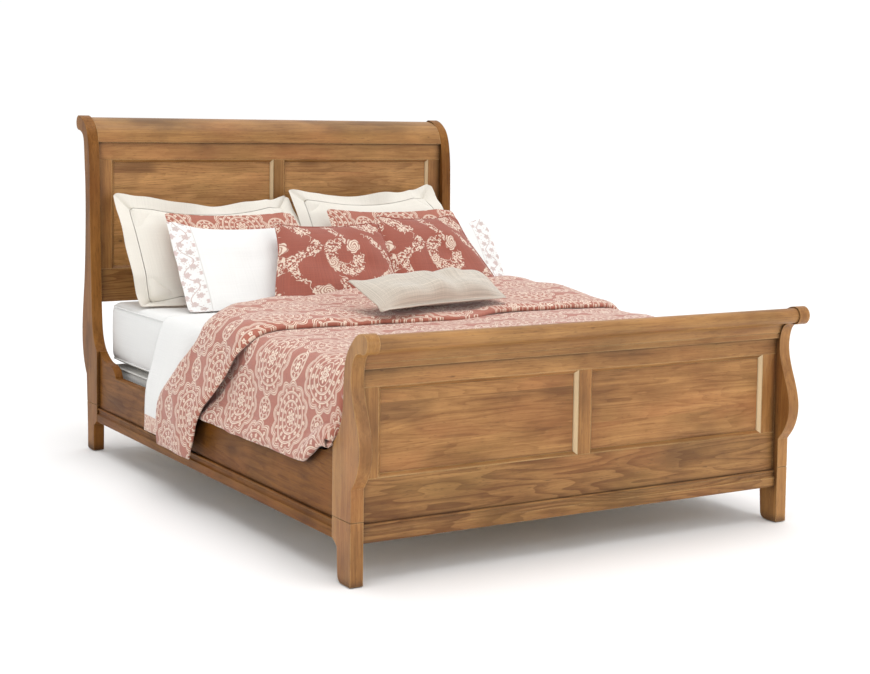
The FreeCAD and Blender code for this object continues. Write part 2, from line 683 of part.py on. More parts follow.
def pillows():
    base = FITTED_TOP + GAP
    wide = MATTRESS_HALF / 760      # pillows keep their share of the mattress
    centre = 16 * wide              # the pair of shams meets a little right of the middle
    sham_width = MATTRESS_HALF - 4
    sham, euro, case, toile, lumbar = 120.0, 90.0, 105.0, 112.0, 330.0
    y = HEAD - 245                  # back of the foot of the rearmost pillows
    for side, x0, x1, high in (("left", centre - 4 - sham_width, centre - 4, 431),
                               ("right", centre + 4, centre - 56 + sham_width, 446)):
        leaning_pillow("sham_" + side, x0, x1, y, sham, base, base + high)
    y -= sham + 1
    for side, x0, x1 in (("left", -615, -30), ("right", 100, 730)):
        leaning_pillow("medallion_pillow_" + side, x0 * wide, x1 * wide, y, euro, base, base + 351)
    y -= euro + 1
    for side, x0, x1 in (("left", -595, -60), ("right", 180, 770)):
        leaning_pillow("white_pillow_" + side, x0 * wide, x1 * wide, y, case, base, base + 304)
    y -= case + 3
    for side, x0, x1, high in (("left", -240, 216, 322), ("right", 222, 660, 346)):
        leaning_pillow("toile_cushion_" + side, x0 * wide, x1 * wide, y, toile, FLAT_TOP + GAP, base + high)
    # the lumbar cushion lies down on the comforter: its foot is nearly as deep as the cushion is tall
    leaning_pillow("lumbar_cushion", -350 * wide, 285 * wide, HEAD - 1082, lumbar, FOLD_TOP + GAP,
                   FOLD_TOP + 150, math.radians(80), 46, 14.5)


pillows()

# ---------------------------------------------------------------- checks and export

doc.recompute()
for item in doc.Objects:
    if any(word in ("Invalid", "Error") for word in item.State):
        raise RuntimeError("failed object: %s %s" % (item.Label, item.State))
os.makedirs("parts", exist_ok=True)
for node in NODES:
    shape = node.Shape
    if shape.isNull() or not shape.isValid() or shape.Volume <= 0:
        raise RuntimeError("bad shape: " + node.Label)
for node in NODES:
    node.Shape.exportStep("parts/%s.step" % node.Label)
print("nodes written:", len(NODES))
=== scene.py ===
"""Looks of the sleigh bed: wood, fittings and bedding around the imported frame. Metres, Z up."""
import math

import bmesh
import bpy
import numpy as np
from mathutils import Matrix, Vector, noise


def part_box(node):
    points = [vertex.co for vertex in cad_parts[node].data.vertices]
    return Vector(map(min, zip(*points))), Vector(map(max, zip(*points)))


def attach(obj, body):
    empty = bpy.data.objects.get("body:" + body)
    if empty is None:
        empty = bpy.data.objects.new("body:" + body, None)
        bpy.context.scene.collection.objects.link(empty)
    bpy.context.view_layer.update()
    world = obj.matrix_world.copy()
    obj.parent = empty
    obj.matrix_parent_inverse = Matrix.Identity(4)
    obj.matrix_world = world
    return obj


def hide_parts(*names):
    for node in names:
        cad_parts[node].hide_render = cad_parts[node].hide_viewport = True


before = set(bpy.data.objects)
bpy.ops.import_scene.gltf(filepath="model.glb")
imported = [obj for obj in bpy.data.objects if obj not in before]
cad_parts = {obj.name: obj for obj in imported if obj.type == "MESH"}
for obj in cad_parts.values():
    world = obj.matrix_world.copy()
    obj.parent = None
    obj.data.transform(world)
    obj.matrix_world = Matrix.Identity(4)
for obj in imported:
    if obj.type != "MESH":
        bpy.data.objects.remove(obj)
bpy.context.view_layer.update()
scene = bpy.context.scene


# ---------------------------------------------------------------- camera, light, floor

def make_camera():
    """Stands off the left foot corner, about eye height, looking slightly down."""
    yaw, pitch, roll = (math.radians(a) for a in (32.595, 4.491, 0.978))
    level = Vector((math.sin(yaw), math.cos(yaw), 0))
    up = Vector((0, 0, 1))
    ahead = level * math.cos(pitch) - up * math.sin(pitch)
    lift = up * math.cos(pitch) + level * math.sin(pitch)
    side = Vector((math.cos(yaw), -math.sin(yaw), 0))
    right = side * math.cos(roll) + lift * math.sin(roll)
    top = lift * math.cos(roll) - side * math.sin(roll)
    data = bpy.data.cameras.new("camera")
    data.sensor_width, data.lens = 36, 68.66
    data.shift_x, data.shift_y = -0.0747, -0.1057
    camera = bpy.data.objects.new("camera", data)
    scene.collection.objects.link(camera)
    turn = Matrix((right, top, -ahead)).transposed().to_4x4()
    camera.matrix_world = Matrix.Translation((-2.993, -5.3115, 1.363)) @ turn
    scene.camera = camera


def area_light(name, place, aim, size, watts, tint=(1, 1, 1)):
    data = bpy.data.lights.new(name, "AREA")
    data.shape, data.size, data.size_y = "RECTANGLE", size[0], size[1]
    data.energy, data.color = watts, tint
    lamp = bpy.data.objects.new(name, data)
    lamp.location = place
    lamp.rotation_euler = (Vector(aim) - Vector(place)).to_track_quat("-Z", "Y").to_euler()
    scene.collection.objects.link(lamp)


def make_stage():
    """A white studio: bright behind the bed and to its right, dimmer overhead and on the camera's side."""
    world = bpy.data.worlds.new("studio")
    world.use_nodes = True
    tree = world.node_tree

    def ranged(value, low, high, at_low, at_high):
        n = tree.nodes.new("ShaderNodeMapRange")
        tree.links.new(value, n.inputs[0])
        for socket, number in zip(list(n.inputs)[1:5], (low, high, at_low, at_high)):
            socket.default_value = number
        return n.outputs[0]

    where, parts, turned, total = (tree.nodes.new("ShaderNode" + k) for k in
                                   ("TexCoord", "SeparateXYZ", "VectorMath", "Math"))
    tree.links.new(where.outputs["Generated"], parts.inputs[0])
    tree.links.new(where.outputs["Generated"], turned.inputs[0])
    turned.operation, turned.inputs[1].default_value = "DOT_PRODUCT", (0.90, 0.35, 0)
    total.operation = "MULTIPLY"
    tree.links.new(ranged(parts.outputs["Z"], 0.16, 0.60, 1.02, 0.86), total.inputs[0])
    tree.links.new(ranged(turned.outputs["Value"], -0.60, 0.45, 0.42, 1.0), total.inputs[1])
    back = tree.nodes["Background"]
    back.inputs["Color"].default_value = (1, 1, 1, 1)
    tree.links.new(total.outputs[0], back.inputs["Strength"])
    scene.world = world
    sun = bpy.data.lights.new("overhead", "SUN")
    sun.energy, sun.angle = 1.75, math.radians(52)
    lamp = bpy.data.objects.new("overhead", sun)
    lamp.rotation_euler = Vector((0.06, 0.14, -1)).to_track_quat("-Z", "Y").to_euler()
    scene.collection.objects.link(lamp)
    area_light("left", (-3.4, -1.2, 1.5), (0, -0.4, 0.5), (0.9, 2.4), 15, (1, 0.985, 0.96))
    area_light("front", (0.6, -5.2, 2.2), (0.1, -0.6, 0.6), (3.2, 1.8), 48, (1, 0.98, 0.95))
    scene.view_settings.view_transform = "Standard"
    bpy.ops.mesh.primitive_plane_add(size=60)
    floor = bpy.context.object
    floor.name = "floor"
    g = Nodes("floor_paint", roughness=0.75)
    g.set("Base Color", g.mix(g.noise(g.point(), 1.5, 2), (0.945, 0.945, 0.945), (0.96, 0.96, 0.96)))
    floor.data.materials.append(g.mat)


# ---------------------------------------------------------------- node trees from expressions

class Val:
    """A value in a node tree, so that sums can be written out plainly."""

    def __init__(self, g, socket):
        self.g, self.socket = g, socket

    def __add__(self, o): return self.g.math("ADD", self, o)
    def __radd__(self, o): return self.g.math("ADD", o, self)
    def __sub__(self, o): return self.g.math("SUBTRACT", self, o)
    def __rsub__(self, o): return self.g.math("SUBTRACT", o, self)
    def __mul__(self, o): return self.g.math("MULTIPLY", self, o)
    def __rmul__(self, o): return self.g.math("MULTIPLY", o, self)
    def __truediv__(self, o): return self.g.math("DIVIDE", self, o)


def linear(rgb):
    """A colour named on the usual 0 to 255 scale, as shaders want it."""
    out = [((c / 255 + 0.055) / 1.055) ** 2.4 if c > 10 else c / 255 / 12.92 for c in rgb]
    return (*out, 1)


class Nodes:
    """One material, with a Principled shader and short names for the nodes that feed it."""

    def __init__(self, name, **settings):
        self.mat = bpy.data.materials.new(name)
        self.mat.use_nodes = True
        self.tree = self.mat.node_tree
        self.shader = self.tree.nodes["Principled BSDF"]
        for key, value in settings.items():
            self.shader.inputs[key.replace("_", " ").title()].default_value = value

    def node(self, kind, **props):
        n = self.tree.nodes.new("ShaderNode" + kind)
        for key, value in props.items():
            setattr(n, key, value)
        return n

    def feed(self, socket, value):
        if isinstance(value, Val):
            self.tree.links.new(value.socket, socket)
        elif isinstance(value, (tuple, list)) and len(value) == 3 and socket.type == "RGBA":
            socket.default_value = (*value, 1)
        else:
            socket.default_value = value

    def set(self, name, value):
        self.feed(self.shader.inputs[name], value)

    def math(self, op, *args):
        n = self.node("Math", operation=op)
        for socket, value in zip(n.inputs, args):
            self.feed(socket, value)
        return Val(self, n.outputs[0])

    def point(self):
        return Val(self, self.node("TexCoord").outputs["Object"])

    def cloth(self):
        return Val(self, self.node("TexCoord").outputs["UV"])

    def split(self, v):
        n = self.node("SeparateXYZ")
        self.feed(n.inputs[0], v)
        return [Val(self, s) for s in n.outputs]

    def join(self, x, y, z=0.0):
        n = self.node("CombineXYZ")
        for socket, value in zip(n.inputs, (x, y, z)):
            self.feed(socket, value)
        return Val(self, n.outputs[0])

    def noise(self, v, scale, detail=2.0, rough=0.5):
        n = self.node("TexNoise")
        self.feed(n.inputs["Vector"], v)
        for key, value in (("Scale", scale), ("Detail", detail), ("Roughness", rough)):
            n.inputs[key].default_value = value
        return Val(self, n.outputs["Fac"])

    def cells(self, v, scale):
        """Distance to the nearest of many scattered points."""
        n = self.node("TexVoronoi")
        self.feed(n.inputs["Vector"], v)
        n.inputs["Scale"].default_value = scale
        return Val(self, n.outputs["Distance"])

    def step(self, v, low, high):
        """0 at low and 1 at high, smooth between them. It falls instead where low is the larger one."""
        n = self.node("MapRange", interpolation_type="SMOOTHSTEP")
        for socket, value in zip(n.inputs, (v, low, high, 0.0, 1.0)):
            self.feed(socket, value)
        return Val(self, n.outputs[0])

    def mix(self, fac, a, b, how="MIX"):
        n = self.node("Mix", data_type="RGBA", blend_type=how)
        self.feed(n.inputs[0], fac)
        self.feed(n.inputs[6], a)
        self.feed(n.inputs[7], b)
        return Val(self, n.outputs[2])

    def open_air(self, reach):
        """1 in the open and towards 0 in a crevice."""
        n = self.node("AmbientOcclusion", samples=6)
        n.inputs["Distance"].default_value = reach
        return Val(self, n.outputs["AO"])

    def edge(self, radius):
        """How near a sharp edge is, and the normal that rounds it."""
        soft = self.node("Bevel", samples=4)
        soft.inputs["Radius"].default_value = radius
        dot = self.node("VectorMath", operation="DOT_PRODUCT")
        self.tree.links.new(soft.outputs[0], dot.inputs[0])
        self.tree.links.new(self.node("NewGeometry").outputs["Normal"], dot.inputs[1])
        return 1 - Val(self, dot.outputs["Value"]), Val(self, soft.outputs[0])

    def bump(self, height, distance, strength=1.0, normal=None):
        n = self.node("Bump")
        n.inputs["Strength"].default_value = strength
        n.inputs["Distance"].default_value = distance
        self.feed(n.inputs["Height"], height)
        if normal is not None:
            self.feed(n.inputs["Normal"], normal)
        self.set("Normal", Val(self, n.outputs[0]))


# ---------------------------------------------------------------- wood and fittings

CHERRY_DARK, CHERRY_PALE = (124, 80, 38), (196, 147, 90)
REDDISH, OLIVE, SMOKE, PORE, FLECK = (182, 118, 72), (142, 112, 58), (92, 58, 28), (84, 52, 26), (76, 46, 24)
KNOT_RING, KNOT_HEART = (104, 62, 30), (44, 26, 14)
# colours of dark glazing with painted shade, of rubbed edges with a painted highlight, and of the painted
# highlight on beads
GLAZE_AND_SHADE, WORN_EDGE_HIGHLIGHT, LIT_BEAD = (52, 31, 15), (236, 196, 142), (250, 228, 190)
# the colour metal turns in its crevices
CREVICE_DARK = (60, 52, 44)


def wood(name, along, seed=0.0, boards=0.0, shade=(1.0, 0.97, 0.90), figure=0.5, lit=0.0, gloss=1.0):
    """Glazed cherry with the grain along one axis, darkened in crevices by glazing and painted shade and
    lightened on its edges by rubbing and a painted highlight. boards is the width of the planks glued into a
    panel, and lit brightens the faces towards -x, where a bead catches the light, as a painted highlight.
    shade
    multiplies the colour: the wood's own tone, with painted shade on the side rails and head posts and
    painted light on the head panels."""
    g = Nodes(name, coat_weight=0.05 * gloss, coat_roughness=0.28)
    g.set("Specular IOR Level", 0.34 * gloss)
    x, y, z = g.split(g.point())
    run, a, b = {"x": (x, y, z), "y": (y, x, z), "z": (z, x, y)}[along]
    run = run + seed
    plank = 0.0
    if boards:
        plank = g.math("FLOOR", (b + seed * 0.37) / boards)
        run = run + plank * 3.71
    drift = g.noise(g.join(run * 0.9, a * 2.2, b * 2.2), 1.6, 2)
    field = g.noise(g.join(run * 0.50, a * 5.0, b * 5.0), 1.5, 3, 0.42)
    rings = g.math("FRACT", field * 24 + drift * 1.5)
    late = g.step(rings, 0.30, 0.97) * g.step(rings, 1.0, 0.97)
    fibre = g.noise(g.join(run * 7, a * 260, b * 260), 1.0, 3, 0.65)
    streak = g.noise(g.join(run * 1.6, a * 62, b * 62), 1.0, 4, 0.62)
    blotch = g.noise(g.join(run * 2.2, a * 5.5, b * 5.5 + 9.1), 1.5, 4, 0.62)
    smoke = g.noise(g.join(run * 1.5, a * 3.1, b * 3.1 + seed), 1.6, 3, 0.6)
    pores = g.step(g.noise(g.join(run * 42, a * 460, b * 460), 1.0, 1), 0.62, 0.72)
    tone = blotch * 0.62 + streak * 0.40 + fibre * 0.34 - late * figure * 0.10
    if boards:
        tone = tone + g.noise(g.join(plank * 5.3, seed, 0.0), 1.0, 0) * 0.30 - 0.15
    tone = g.step(tone, 0.36, 0.94)
    base = g.mix(tone, linear(CHERRY_DARK), linear(CHERRY_PALE))
    reddish = g.step(g.noise(g.join(run * 1.3, a * 3, b * 3), 2.1, 2), 0.45, 0.75)
    base = g.mix(reddish * 0.35, base, linear(REDDISH))
    olive = g.step(g.noise(g.join(run * 1.1, a * 2.6, b * 2.6 + 4.0), 2.4, 2), 0.48, 0.72)
    base = g.mix(olive * 0.30, base, linear(OLIVE))
    base = g.mix(g.step(smoke, 0.50, 0.72) * 0.50, base, linear(SMOKE))
    base = g.mix(pores * 0.40, base, linear(PORE))
    knot = g.cells(g.join(run * 2.6, a * 5.2, b * 5.2), 1.0)
    knot_core = g.step(knot, 0.045, 0.016)
    knot_halo = g.step(knot, 0.15, 0.03)
    base = g.mix(knot_halo * 0.35, base, linear(KNOT_RING))
    base = g.mix(knot_core * 0.85, base, linear(KNOT_HEART))
    fleck = g.step(g.noise(g.join(run * 13, a * 70, b * 70), 1.0, 2, 0.7), 0.72, 0.78)
    base = g.mix(fleck * 0.55, base, linear(FLECK))
    # dark glazing and painted shade: the colour darkens in crevices and where parts meet
    crevice = 1 - g.open_air(0.040)
    glaze_and_shade = g.step(crevice + (blotch - 0.5) * 0.5, 0.08, 0.50)
    base = g.mix(glaze_and_shade * 0.80, base, linear(GLAZE_AND_SHADE))
    # rubbed edges and a painted highlight: the colour lightens to cream along sharp edges
    sharp, rounded = g.edge(0.005)
    wear_and_highlight = g.step(sharp + (streak - 0.5) * 0.20, 0.02, 0.13) * g.step(blotch, 0.30, 0.55)
    base = g.mix(wear_and_highlight * 0.60, base, linear(WORN_EDGE_HIGHLIGHT))
    if lit:
        facing, _, _ = g.split(Val(g, g.node("NewGeometry").outputs["Normal"]))
        base = g.mix(g.step(0 - facing, 0.20, 0.60) * lit, base, linear(LIT_BEAD))
    # the shade factor: the wood's tone, with painted shade on side rails and head posts and painted light on
    # head panels
    base = g.mix(1.0, base, shade, "MULTIPLY")
    g.set("Base Color", base)
    g.set("Roughness", 0.34 + fibre * 0.12 + glaze_and_shade * 0.16 + (1 - tone) * 0.08)
    g.bump(fibre * 0.35 - pores * 0.6 - late * 0.25 - knot_core * 1.2, 0.0006, 0.55, rounded)
    return g.mat


def pale_wood():
    """Plain unfinished softwood for the parts out of sight."""
    g = Nodes("pale_wood", roughness=0.62)
    x, y, z = g.split(g.point())
    grain = g.noise(g.join(x * 2, y * 60, z * 60), 1.0, 4, 0.6)
    rings = g.math("FRACT", g.noise(g.join(x * 0.6, y * 4, z * 4), 1.2, 2) * 12)
    base = g.mix(grain * 0.7 + rings * 0.3, linear((196, 158, 108)), linear((232, 205, 160)))
    knot = g.step(g.cells(g.join(x * 1.7, y * 5, z * 5), 1.0), 0.10, 0.03)
    base = g.mix(knot * 0.8, base, linear((120, 74, 40)))
    # painted shade: the colour darkens in crevices and where parts meet
    base = g.mix(g.step(g.open_air(0.03), 0.75, 0.2) * 0.5, base, linear((110, 84, 58)))
    g.set("Base Color", base)
    g.set("Roughness", 0.55 + grain * 0.15)
    g.bump(grain, 0.0004, 0.4)
    return g.mat


def metal(name, colour, rough, scratch=1.0):
    """Mottled and lightly brushed metal, darker in its crevices."""
    g = Nodes(name, metallic=1.0)
    p = g.point()
    mottle = g.noise(p, 60, 4, 0.6)
    x, y, z = g.split(p)
    brushed = g.noise(g.join(x * 900, y * 40, z * 900), 1.0, 2)
    base = g.mix(g.step(mottle, 0.3, 0.75), linear([c * 0.86 for c in colour]), linear(colour))
    # darker in its crevices
    base = g.mix(g.step(g.open_air(0.01), 0.8, 0.25) * 0.6, base, linear(CREVICE_DARK))
    g.set("Base Color", base)
    g.set("Roughness", rough + (mottle - 0.5) * 0.2 + (brushed - 0.5) * 0.12 * scratch)
    sharp, rounded = g.edge(0.0008)
    g.bump(brushed * 0.3 * scratch + mottle * 0.2, 0.00015, 0.5, rounded)
    return g.mat


def plastic():
    """Dark moulded nylon."""
    g = Nodes("nylon", roughness=0.5)
    p = g.point()
    grain = g.noise(p, 900, 2)
    g.set("Base Color", g.mix(g.noise(p, 40, 3), linear((44, 41, 38)), linear((60, 56, 52))))
    g.set("Roughness", 0.42 + grain * 0.2)
    g.bump(grain, 0.0001, 0.4)
    return g.mat


def finish_cad():
    """Gives every CAD piece that stays its own better material, by how it is cut from the board."""
    finishes = [
        (wood("cherry_x", "x"), "foot_top_rail head_top_rail"),
        (wood("cherry_x_cathedral", "x", 4.4, shade=(0.80, 0.76, 0.66), figure=1.8),
         "foot_bottom_rail head_bottom_rail foot_base_moulding head_lower_rail"),
        (wood("cherry_x_roll", "x", 11.3, shade=(0.88, 0.86, 0.80), figure=0.35),
         "foot_roll head_crest_rail foot_cove_rail"),
        (wood("cherry_panel", "x", 7.7, boards=0.125, shade=(1.0, 0.95, 0.86), figure=0.9),
         "foot_panel_left foot_panel_right"),
        # painted light: the head panels are the foot panels' cherry made brighter
        (wood("cherry_head_panel", "x", 3.1, boards=0.125, shade=(1.20, 1.20, 1.20), figure=0.9),
         "head_panel_left head_panel_right"),
        # painted shade: the side rails are the same cherry made much darker
        (wood("cherry_y", "y", 2.9, shade=(0.52, 0.39, 0.18), figure=0.9, gloss=0.3),
         "side_rail rail_moulding"),
        (wood("cherry_z", "z", 5.2, shade=(0.90, 0.83, 0.70)),
         "foot_post foot_stile foot_centre_stile head_stile head_centre_stile"),
        # painted shade: the head posts are a darker copy of the other posts' cherry
        (wood("cherry_head_post", "z", 8.6, shade=(0.62, 0.50, 0.32), gloss=0.4), "head_post"),
        (wood("cherry_bead", "x", 1.2, shade=(0.94, 0.90, 0.82), lit=0.75),
         "foot_panel_beads head_panel_beads"),
        (pale_wood(), "ledger centre_beam slat support_leg"),
        (metal("painted_steel", (74, 72, 70), 0.5, 0.5), "beam_hangers"),
        (metal("zinc_plate", (188, 186, 178), 0.34), "rail_joint_plates"),
        (metal("screw_brass", (206, 170, 104), 0.3), "wood_screws"),
        (metal("insert_brass", (212, 176, 108), 0.3), "threaded_inserts"),
        (plastic(), "post_glides"),
        (metal("zinc_stem", (196, 196, 192), 0.3), "levelling_foot"),
    ]
    for name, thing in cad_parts.items():
        for finish, name_starts in finishes:
            if name.startswith(tuple(name_starts.split())):
                thing.data.materials.clear()
                thing.data.materials.append(finish)


# ---------------------------------------------------------------- fabric finishes

WHITE, CREAM, LINEN = (244, 244, 242), (238, 233, 222), (222, 211, 196)
CLAY, CLAY_DEEP, PRINT = (186, 112, 92), (170, 92, 74), (246, 232, 212)


def cloth_finish(name, colour, thread=0.0006, slub=0.15, soft=0.35, bump=0.5, fill=None, fold_shade=0.62):
    """Woven cloth: threads both ways, slubs, faint wash marks. fill adds a print over the plain colour,
    and crease is how far the colour drops deep in a fold, as painted shade."""
    g = Nodes(name, roughness=0.9, sheen_weight=soft, sheen_roughness=0.5)
    uv = g.cloth()
    u, v, _ = g.split(uv)
    warp = g.math("SINE", u * (2 * math.pi / thread))
    weft = g.math("SINE", v * (2 * math.pi / thread))
    weave = warp * weft * 0.5 + 0.5
    across = g.noise(g.join(u * 3, v * 900), 1.0, 2, 0.6)
    along = g.noise(g.join(u * 900, v * 3), 1.0, 2, 0.6)
    threads = across * 0.5 + along * 0.5
    patch = g.noise(uv, 3.2, 3, 0.55)
    base = g.mix(g.step(threads, 0.38, 0.62), linear([c * (1 - slub) for c in colour]), linear(colour))
    relief = weave * 0.5 + threads
    if fill is not None:
        base, print_relief = fill(g, u, v, base, threads)
        relief = relief + print_relief
    base = g.mix((1 - patch) * 0.16, base, linear([c * 0.86 for c in colour]))
    # painted shade: the colour darkens deep in folds and creases, where the cloth is shut in
    fold = g.step(g.open_air(0.05), 0.80, 0.15)
    base = g.mix(fold * 0.35, base, linear([c * fold_shade for c in colour]))
    g.set("Base Color", base)
    g.set("Roughness", 0.84 + threads * 0.1 + weave * 0.05)
    pucker = g.noise(uv, 26, 3, 0.6)
    g.bump(relief * 0.35 + pucker * 2.2, 0.0011, bump)
    return g.mat


def percale(name, fill=None):
    return cloth_finish(name, WHITE, 0.0005, 0.03, soft=0.2, fill=fill)


def line(g, r, at, half):
    """1 on a thin ring at radius `at`."""
    return g.step(g.math("ABSOLUTE", r - at), half * 1.25, half * 0.75)


def brick(g, u, v, pitch_u, pitch_v, shift_u=0.0):
    """Distance east and north of the nearest centre of a staggered grid, with its polar form."""
    def cell(du, dv):
        a = g.math("ROUND", (u - shift_u - du) / pitch_u) * pitch_u + shift_u + du
        b = g.math("ROUND", (v - dv) / pitch_v) * pitch_v + dv
        return u - a, v - b
    ax, ay = cell(0.0, 0.0)
    bx, by = cell(pitch_u / 2, pitch_v / 2)
    ra = g.math("SQRT", ax * ax + ay * ay)
    rb = g.math("SQRT", bx * bx + by * by)
    near = g.math("LESS_THAN", rb, ra)
    x = ax + (bx - ax) * near
    y = ay + (by - ay) * near
    return g.math("MINIMUM", ra, rb), g.math("ARCTAN2", y, x)


def petals(g, angle, count, depth, turn=0.0):
    """A radius factor with rounded lobes: 1 at a lobe's tip and 1 - depth between lobes."""
    return 1 - depth + g.math("ABSOLUTE", g.math("COSINE", angle * (count / 2) + turn)) * depth


def florets(g, r, angle, ring, count, size):
    """Small five-petalled flowers spaced round a ring."""
    step_angle = 2 * math.pi / count
    turn = g.math("ROUND", angle / step_angle) * step_angle
    dx = r * g.math("COSINE", angle - turn) - ring
    dy = r * g.math("SINE", angle - turn)
    d = g.math("SQRT", dx * dx + dy * dy)
    lobes = petals(g, g.math("ARCTAN2", dy, dx), 5, 0.45)
    return g.step(d / lobes, size, size * 0.8) * g.step(d, size * 0.16, size * 0.26)


def medallions(g, u, v, base, threads):
    """Scalloped medallions in a staggered grid, joined by small round ones."""
    pitch_u, pitch_v = 0.318, 0.368
    r, angle = brick(g, u, v, pitch_u, pitch_v)
    scallop = petals(g, angle, 12, 0.12)
    rim = r / scallop
    ink = line(g, rim, 0.1190, 0.0016)
    for at, half in ((0.1120, 0.0021), (0.1045, 0.0011)):
        ink = g.math("MAXIMUM", ink, line(g, rim, at, half))
    for at, half in ((0.0835, 0.0017), (0.0790, 0.0010), (0.0560, 0.0019), (0.0515, 0.0010),
                     (0.0335, 0.0012)):
        ink = g.math("MAXIMUM", ink, line(g, r, at, half))
    for ring, count, dot in ((0.0925, 12, 0.0082), (0.0675, 14, 0.0088), (0.0428, 10, 0.0070)):
        ink = g.math("MAXIMUM", ink, florets(g, r, angle, ring, count, dot))
    bloom = g.step(r / petals(g, angle, 8, 0.5), 0.0285, 0.0250) * g.step(r, 0.0060, 0.0080)
    veins = line(g, r / petals(g, angle, 8, 0.6), 0.0165, 0.0018)
    ink = g.math("MAXIMUM", ink, bloom * (1 - veins) + g.step(r, 0.0042, 0.0032))
    s, turn = brick(g, u, v, pitch_u, pitch_v, pitch_u / 2)
    for at, half in ((0.0385, 0.0013), (0.0345, 0.0014), (0.0215, 0.0012)):
        ink = g.math("MAXIMUM", ink, line(g, s, at, half))
    ink = g.math("MAXIMUM", ink, florets(g, s, turn, 0.0280, 8, 0.0056))
    small = g.step(s / petals(g, turn, 6, 0.5), 0.0165, 0.0140) * g.step(s, 0.003, 0.0045)
    ink = g.math("MAXIMUM", ink, small)
    c, _ = brick(g, u, v, pitch_u / 2, pitch_v / 2, pitch_u / 4)
    link = g.math("MAXIMUM", line(g, c, 0.0125, 0.0011), g.step(c, 0.0062, 0.0050))
    ink = g.math("MAXIMUM", ink, link * g.step(rim, 0.119, 0.121))
    worn = g.step(g.noise(g.join(u, v), 230, 3, 0.7) + threads * 0.3, 0.42, 0.62)
    ink = ink * (0.50 + worn * 0.50)
    return g.mix(ink * 0.90, base, linear(PRINT)), ink * 0.25


def toile(g, u, v, base, threads):
    """Wreaths of leaves and roses with hanging sprigs, printed in cream."""
    bend = g.noise(g.join(u, v), 7, 3, 0.6)
    sway = g.noise(g.join(u, v, 3.7), 7, 3, 0.6)
    wob_u, wob_v = u + (bend - 0.5) * 0.07, v + (sway - 0.5) * 0.07
    pitch = (0.30, 0.42)
    r, around = brick(g, wob_u - 0.10, wob_v - 0.02, *pitch)
    s, turn = brick(g, wob_u - 0.10, wob_v - 0.02, *pitch, pitch[0] / 2)
    garland = g.step(g.math("ABSOLUTE", r - 0.066), 0.036, 0.012)
    garland = garland * g.step(g.math("COSINE", around + v * 9), -0.80, -0.35)
    sway_by = g.math("SINE", v * 21 + u * 9) * 0.052
    off_line = g.math("ABSOLUTE", s * g.math("COSINE", turn) - sway_by)
    sprig = g.step(off_line, 0.034, 0.006) * g.step(s, 0.15, 0.06)
    where = g.math("MAXIMUM", garland, sprig)
    patchy = g.step(where - g.noise(g.join(u, v, 8.0), 34, 2) * 0.75, 0.02, 0.16)
    ink = 0.0
    for turned, size, fill in (((0.8, 0.5), 74, 0.40), ((-0.4, 0.9), 92, 0.36), ((0.2, -0.9), 120, 0.34)):
        leaf_at = g.join(u * (1 + turned[0] * 0.4) + v * turned[1] * 0.6, v * 1.1 - u * turned[0] * 0.5, size)
        leaf = g.step(g.cells(leaf_at, size), fill + 0.05, fill - 0.06)
        rib = g.step(g.math("ABSOLUTE", g.math("SINE", (u * turned[1] - v * turned[0]) * 760)), 0.10, 0.40)
        ink = g.math("MAXIMUM", leaf * (0.45 + rib * 0.55), ink)
    ink = ink * patchy
    stem = g.step(g.math("ABSOLUTE", g.noise(g.join(wob_u, wob_v), 15, 1) - 0.5), 0.012, 0.005)
    ink = g.math("MAXIMUM", ink, stem * g.step(where, 0.02, 0.10) * 0.9)
    for east, north, reach in ((0.05, 0.05, 0.034), (-0.06, -0.03, 0.026)):
        rose_r, rose_a = brick(g, wob_u - 0.10 - east, wob_v - 0.02 - north, *pitch)
        edge = rose_r / petals(g, rose_a, 5, 0.22, east * 20)
        whorl = g.math("SINE", rose_r * 640 + rose_a * 3 + bend * 14)
        flower = g.step(edge, reach, reach * 0.9)
        ink = g.math("MAXIMUM", ink * (1 - flower), flower * (0.25 + 0.75 * g.step(whorl, -0.5, 0.2)))
    worn = g.step(g.noise(g.join(u, v), 190, 3, 0.7) + threads * 0.35, 0.42, 0.64)
    ink = ink * (0.5 + worn * 0.5)
    return g.mix(ink * 0.88, base, linear(PRINT)), ink * 0.2


def hem_flowers(width):
    """Embroidered vine with small flowers on a strip of that width at the cloth's edge (u = 0)."""
    def fill(g, u, v, base, threads):
        strip = g.step(u, width, width - 0.004)
        r, angle = brick(g, u - width * 0.36, v, width * 0.62, 0.058)
        flower = g.step(r / petals(g, angle, 5, 0.42), 0.0120, 0.0100)
        petal_gap = g.step(g.math("ABSOLUTE", g.math("SINE", angle * 2.5)), 0.05, 0.30)
        off_vine = g.math("ABSOLUTE", u - width * 0.5 - g.math("SINE", v * 62) * width * 0.24)
        vine = g.step(off_vine, 0.0022, 0.0012)
        leaves = g.step(g.cells(g.join(u, v), 120), 0.28, 0.20)
        stitch = g.step(g.math("SINE", (u + v) * 2400), -0.6, 0.4)
        thread_a = g.mix(g.noise(g.join(u, v), 22, 2), linear((206, 158, 154)), linear((176, 164, 156)))
        ink = g.math("MAXIMUM", flower * (0.45 + petal_gap * 0.55), g.math("MAXIMUM", vine, leaves * 0.8))
        seam = g.step(g.math("ABSOLUTE", u - width), 0.0016, 0.0008)
        out = g.mix(ink * strip * (0.6 + stitch * 0.3), base, thread_a)
        return g.mix(seam * 0.5, out, linear((196, 190, 184))), ink * strip * 0.8 - seam
    return fill


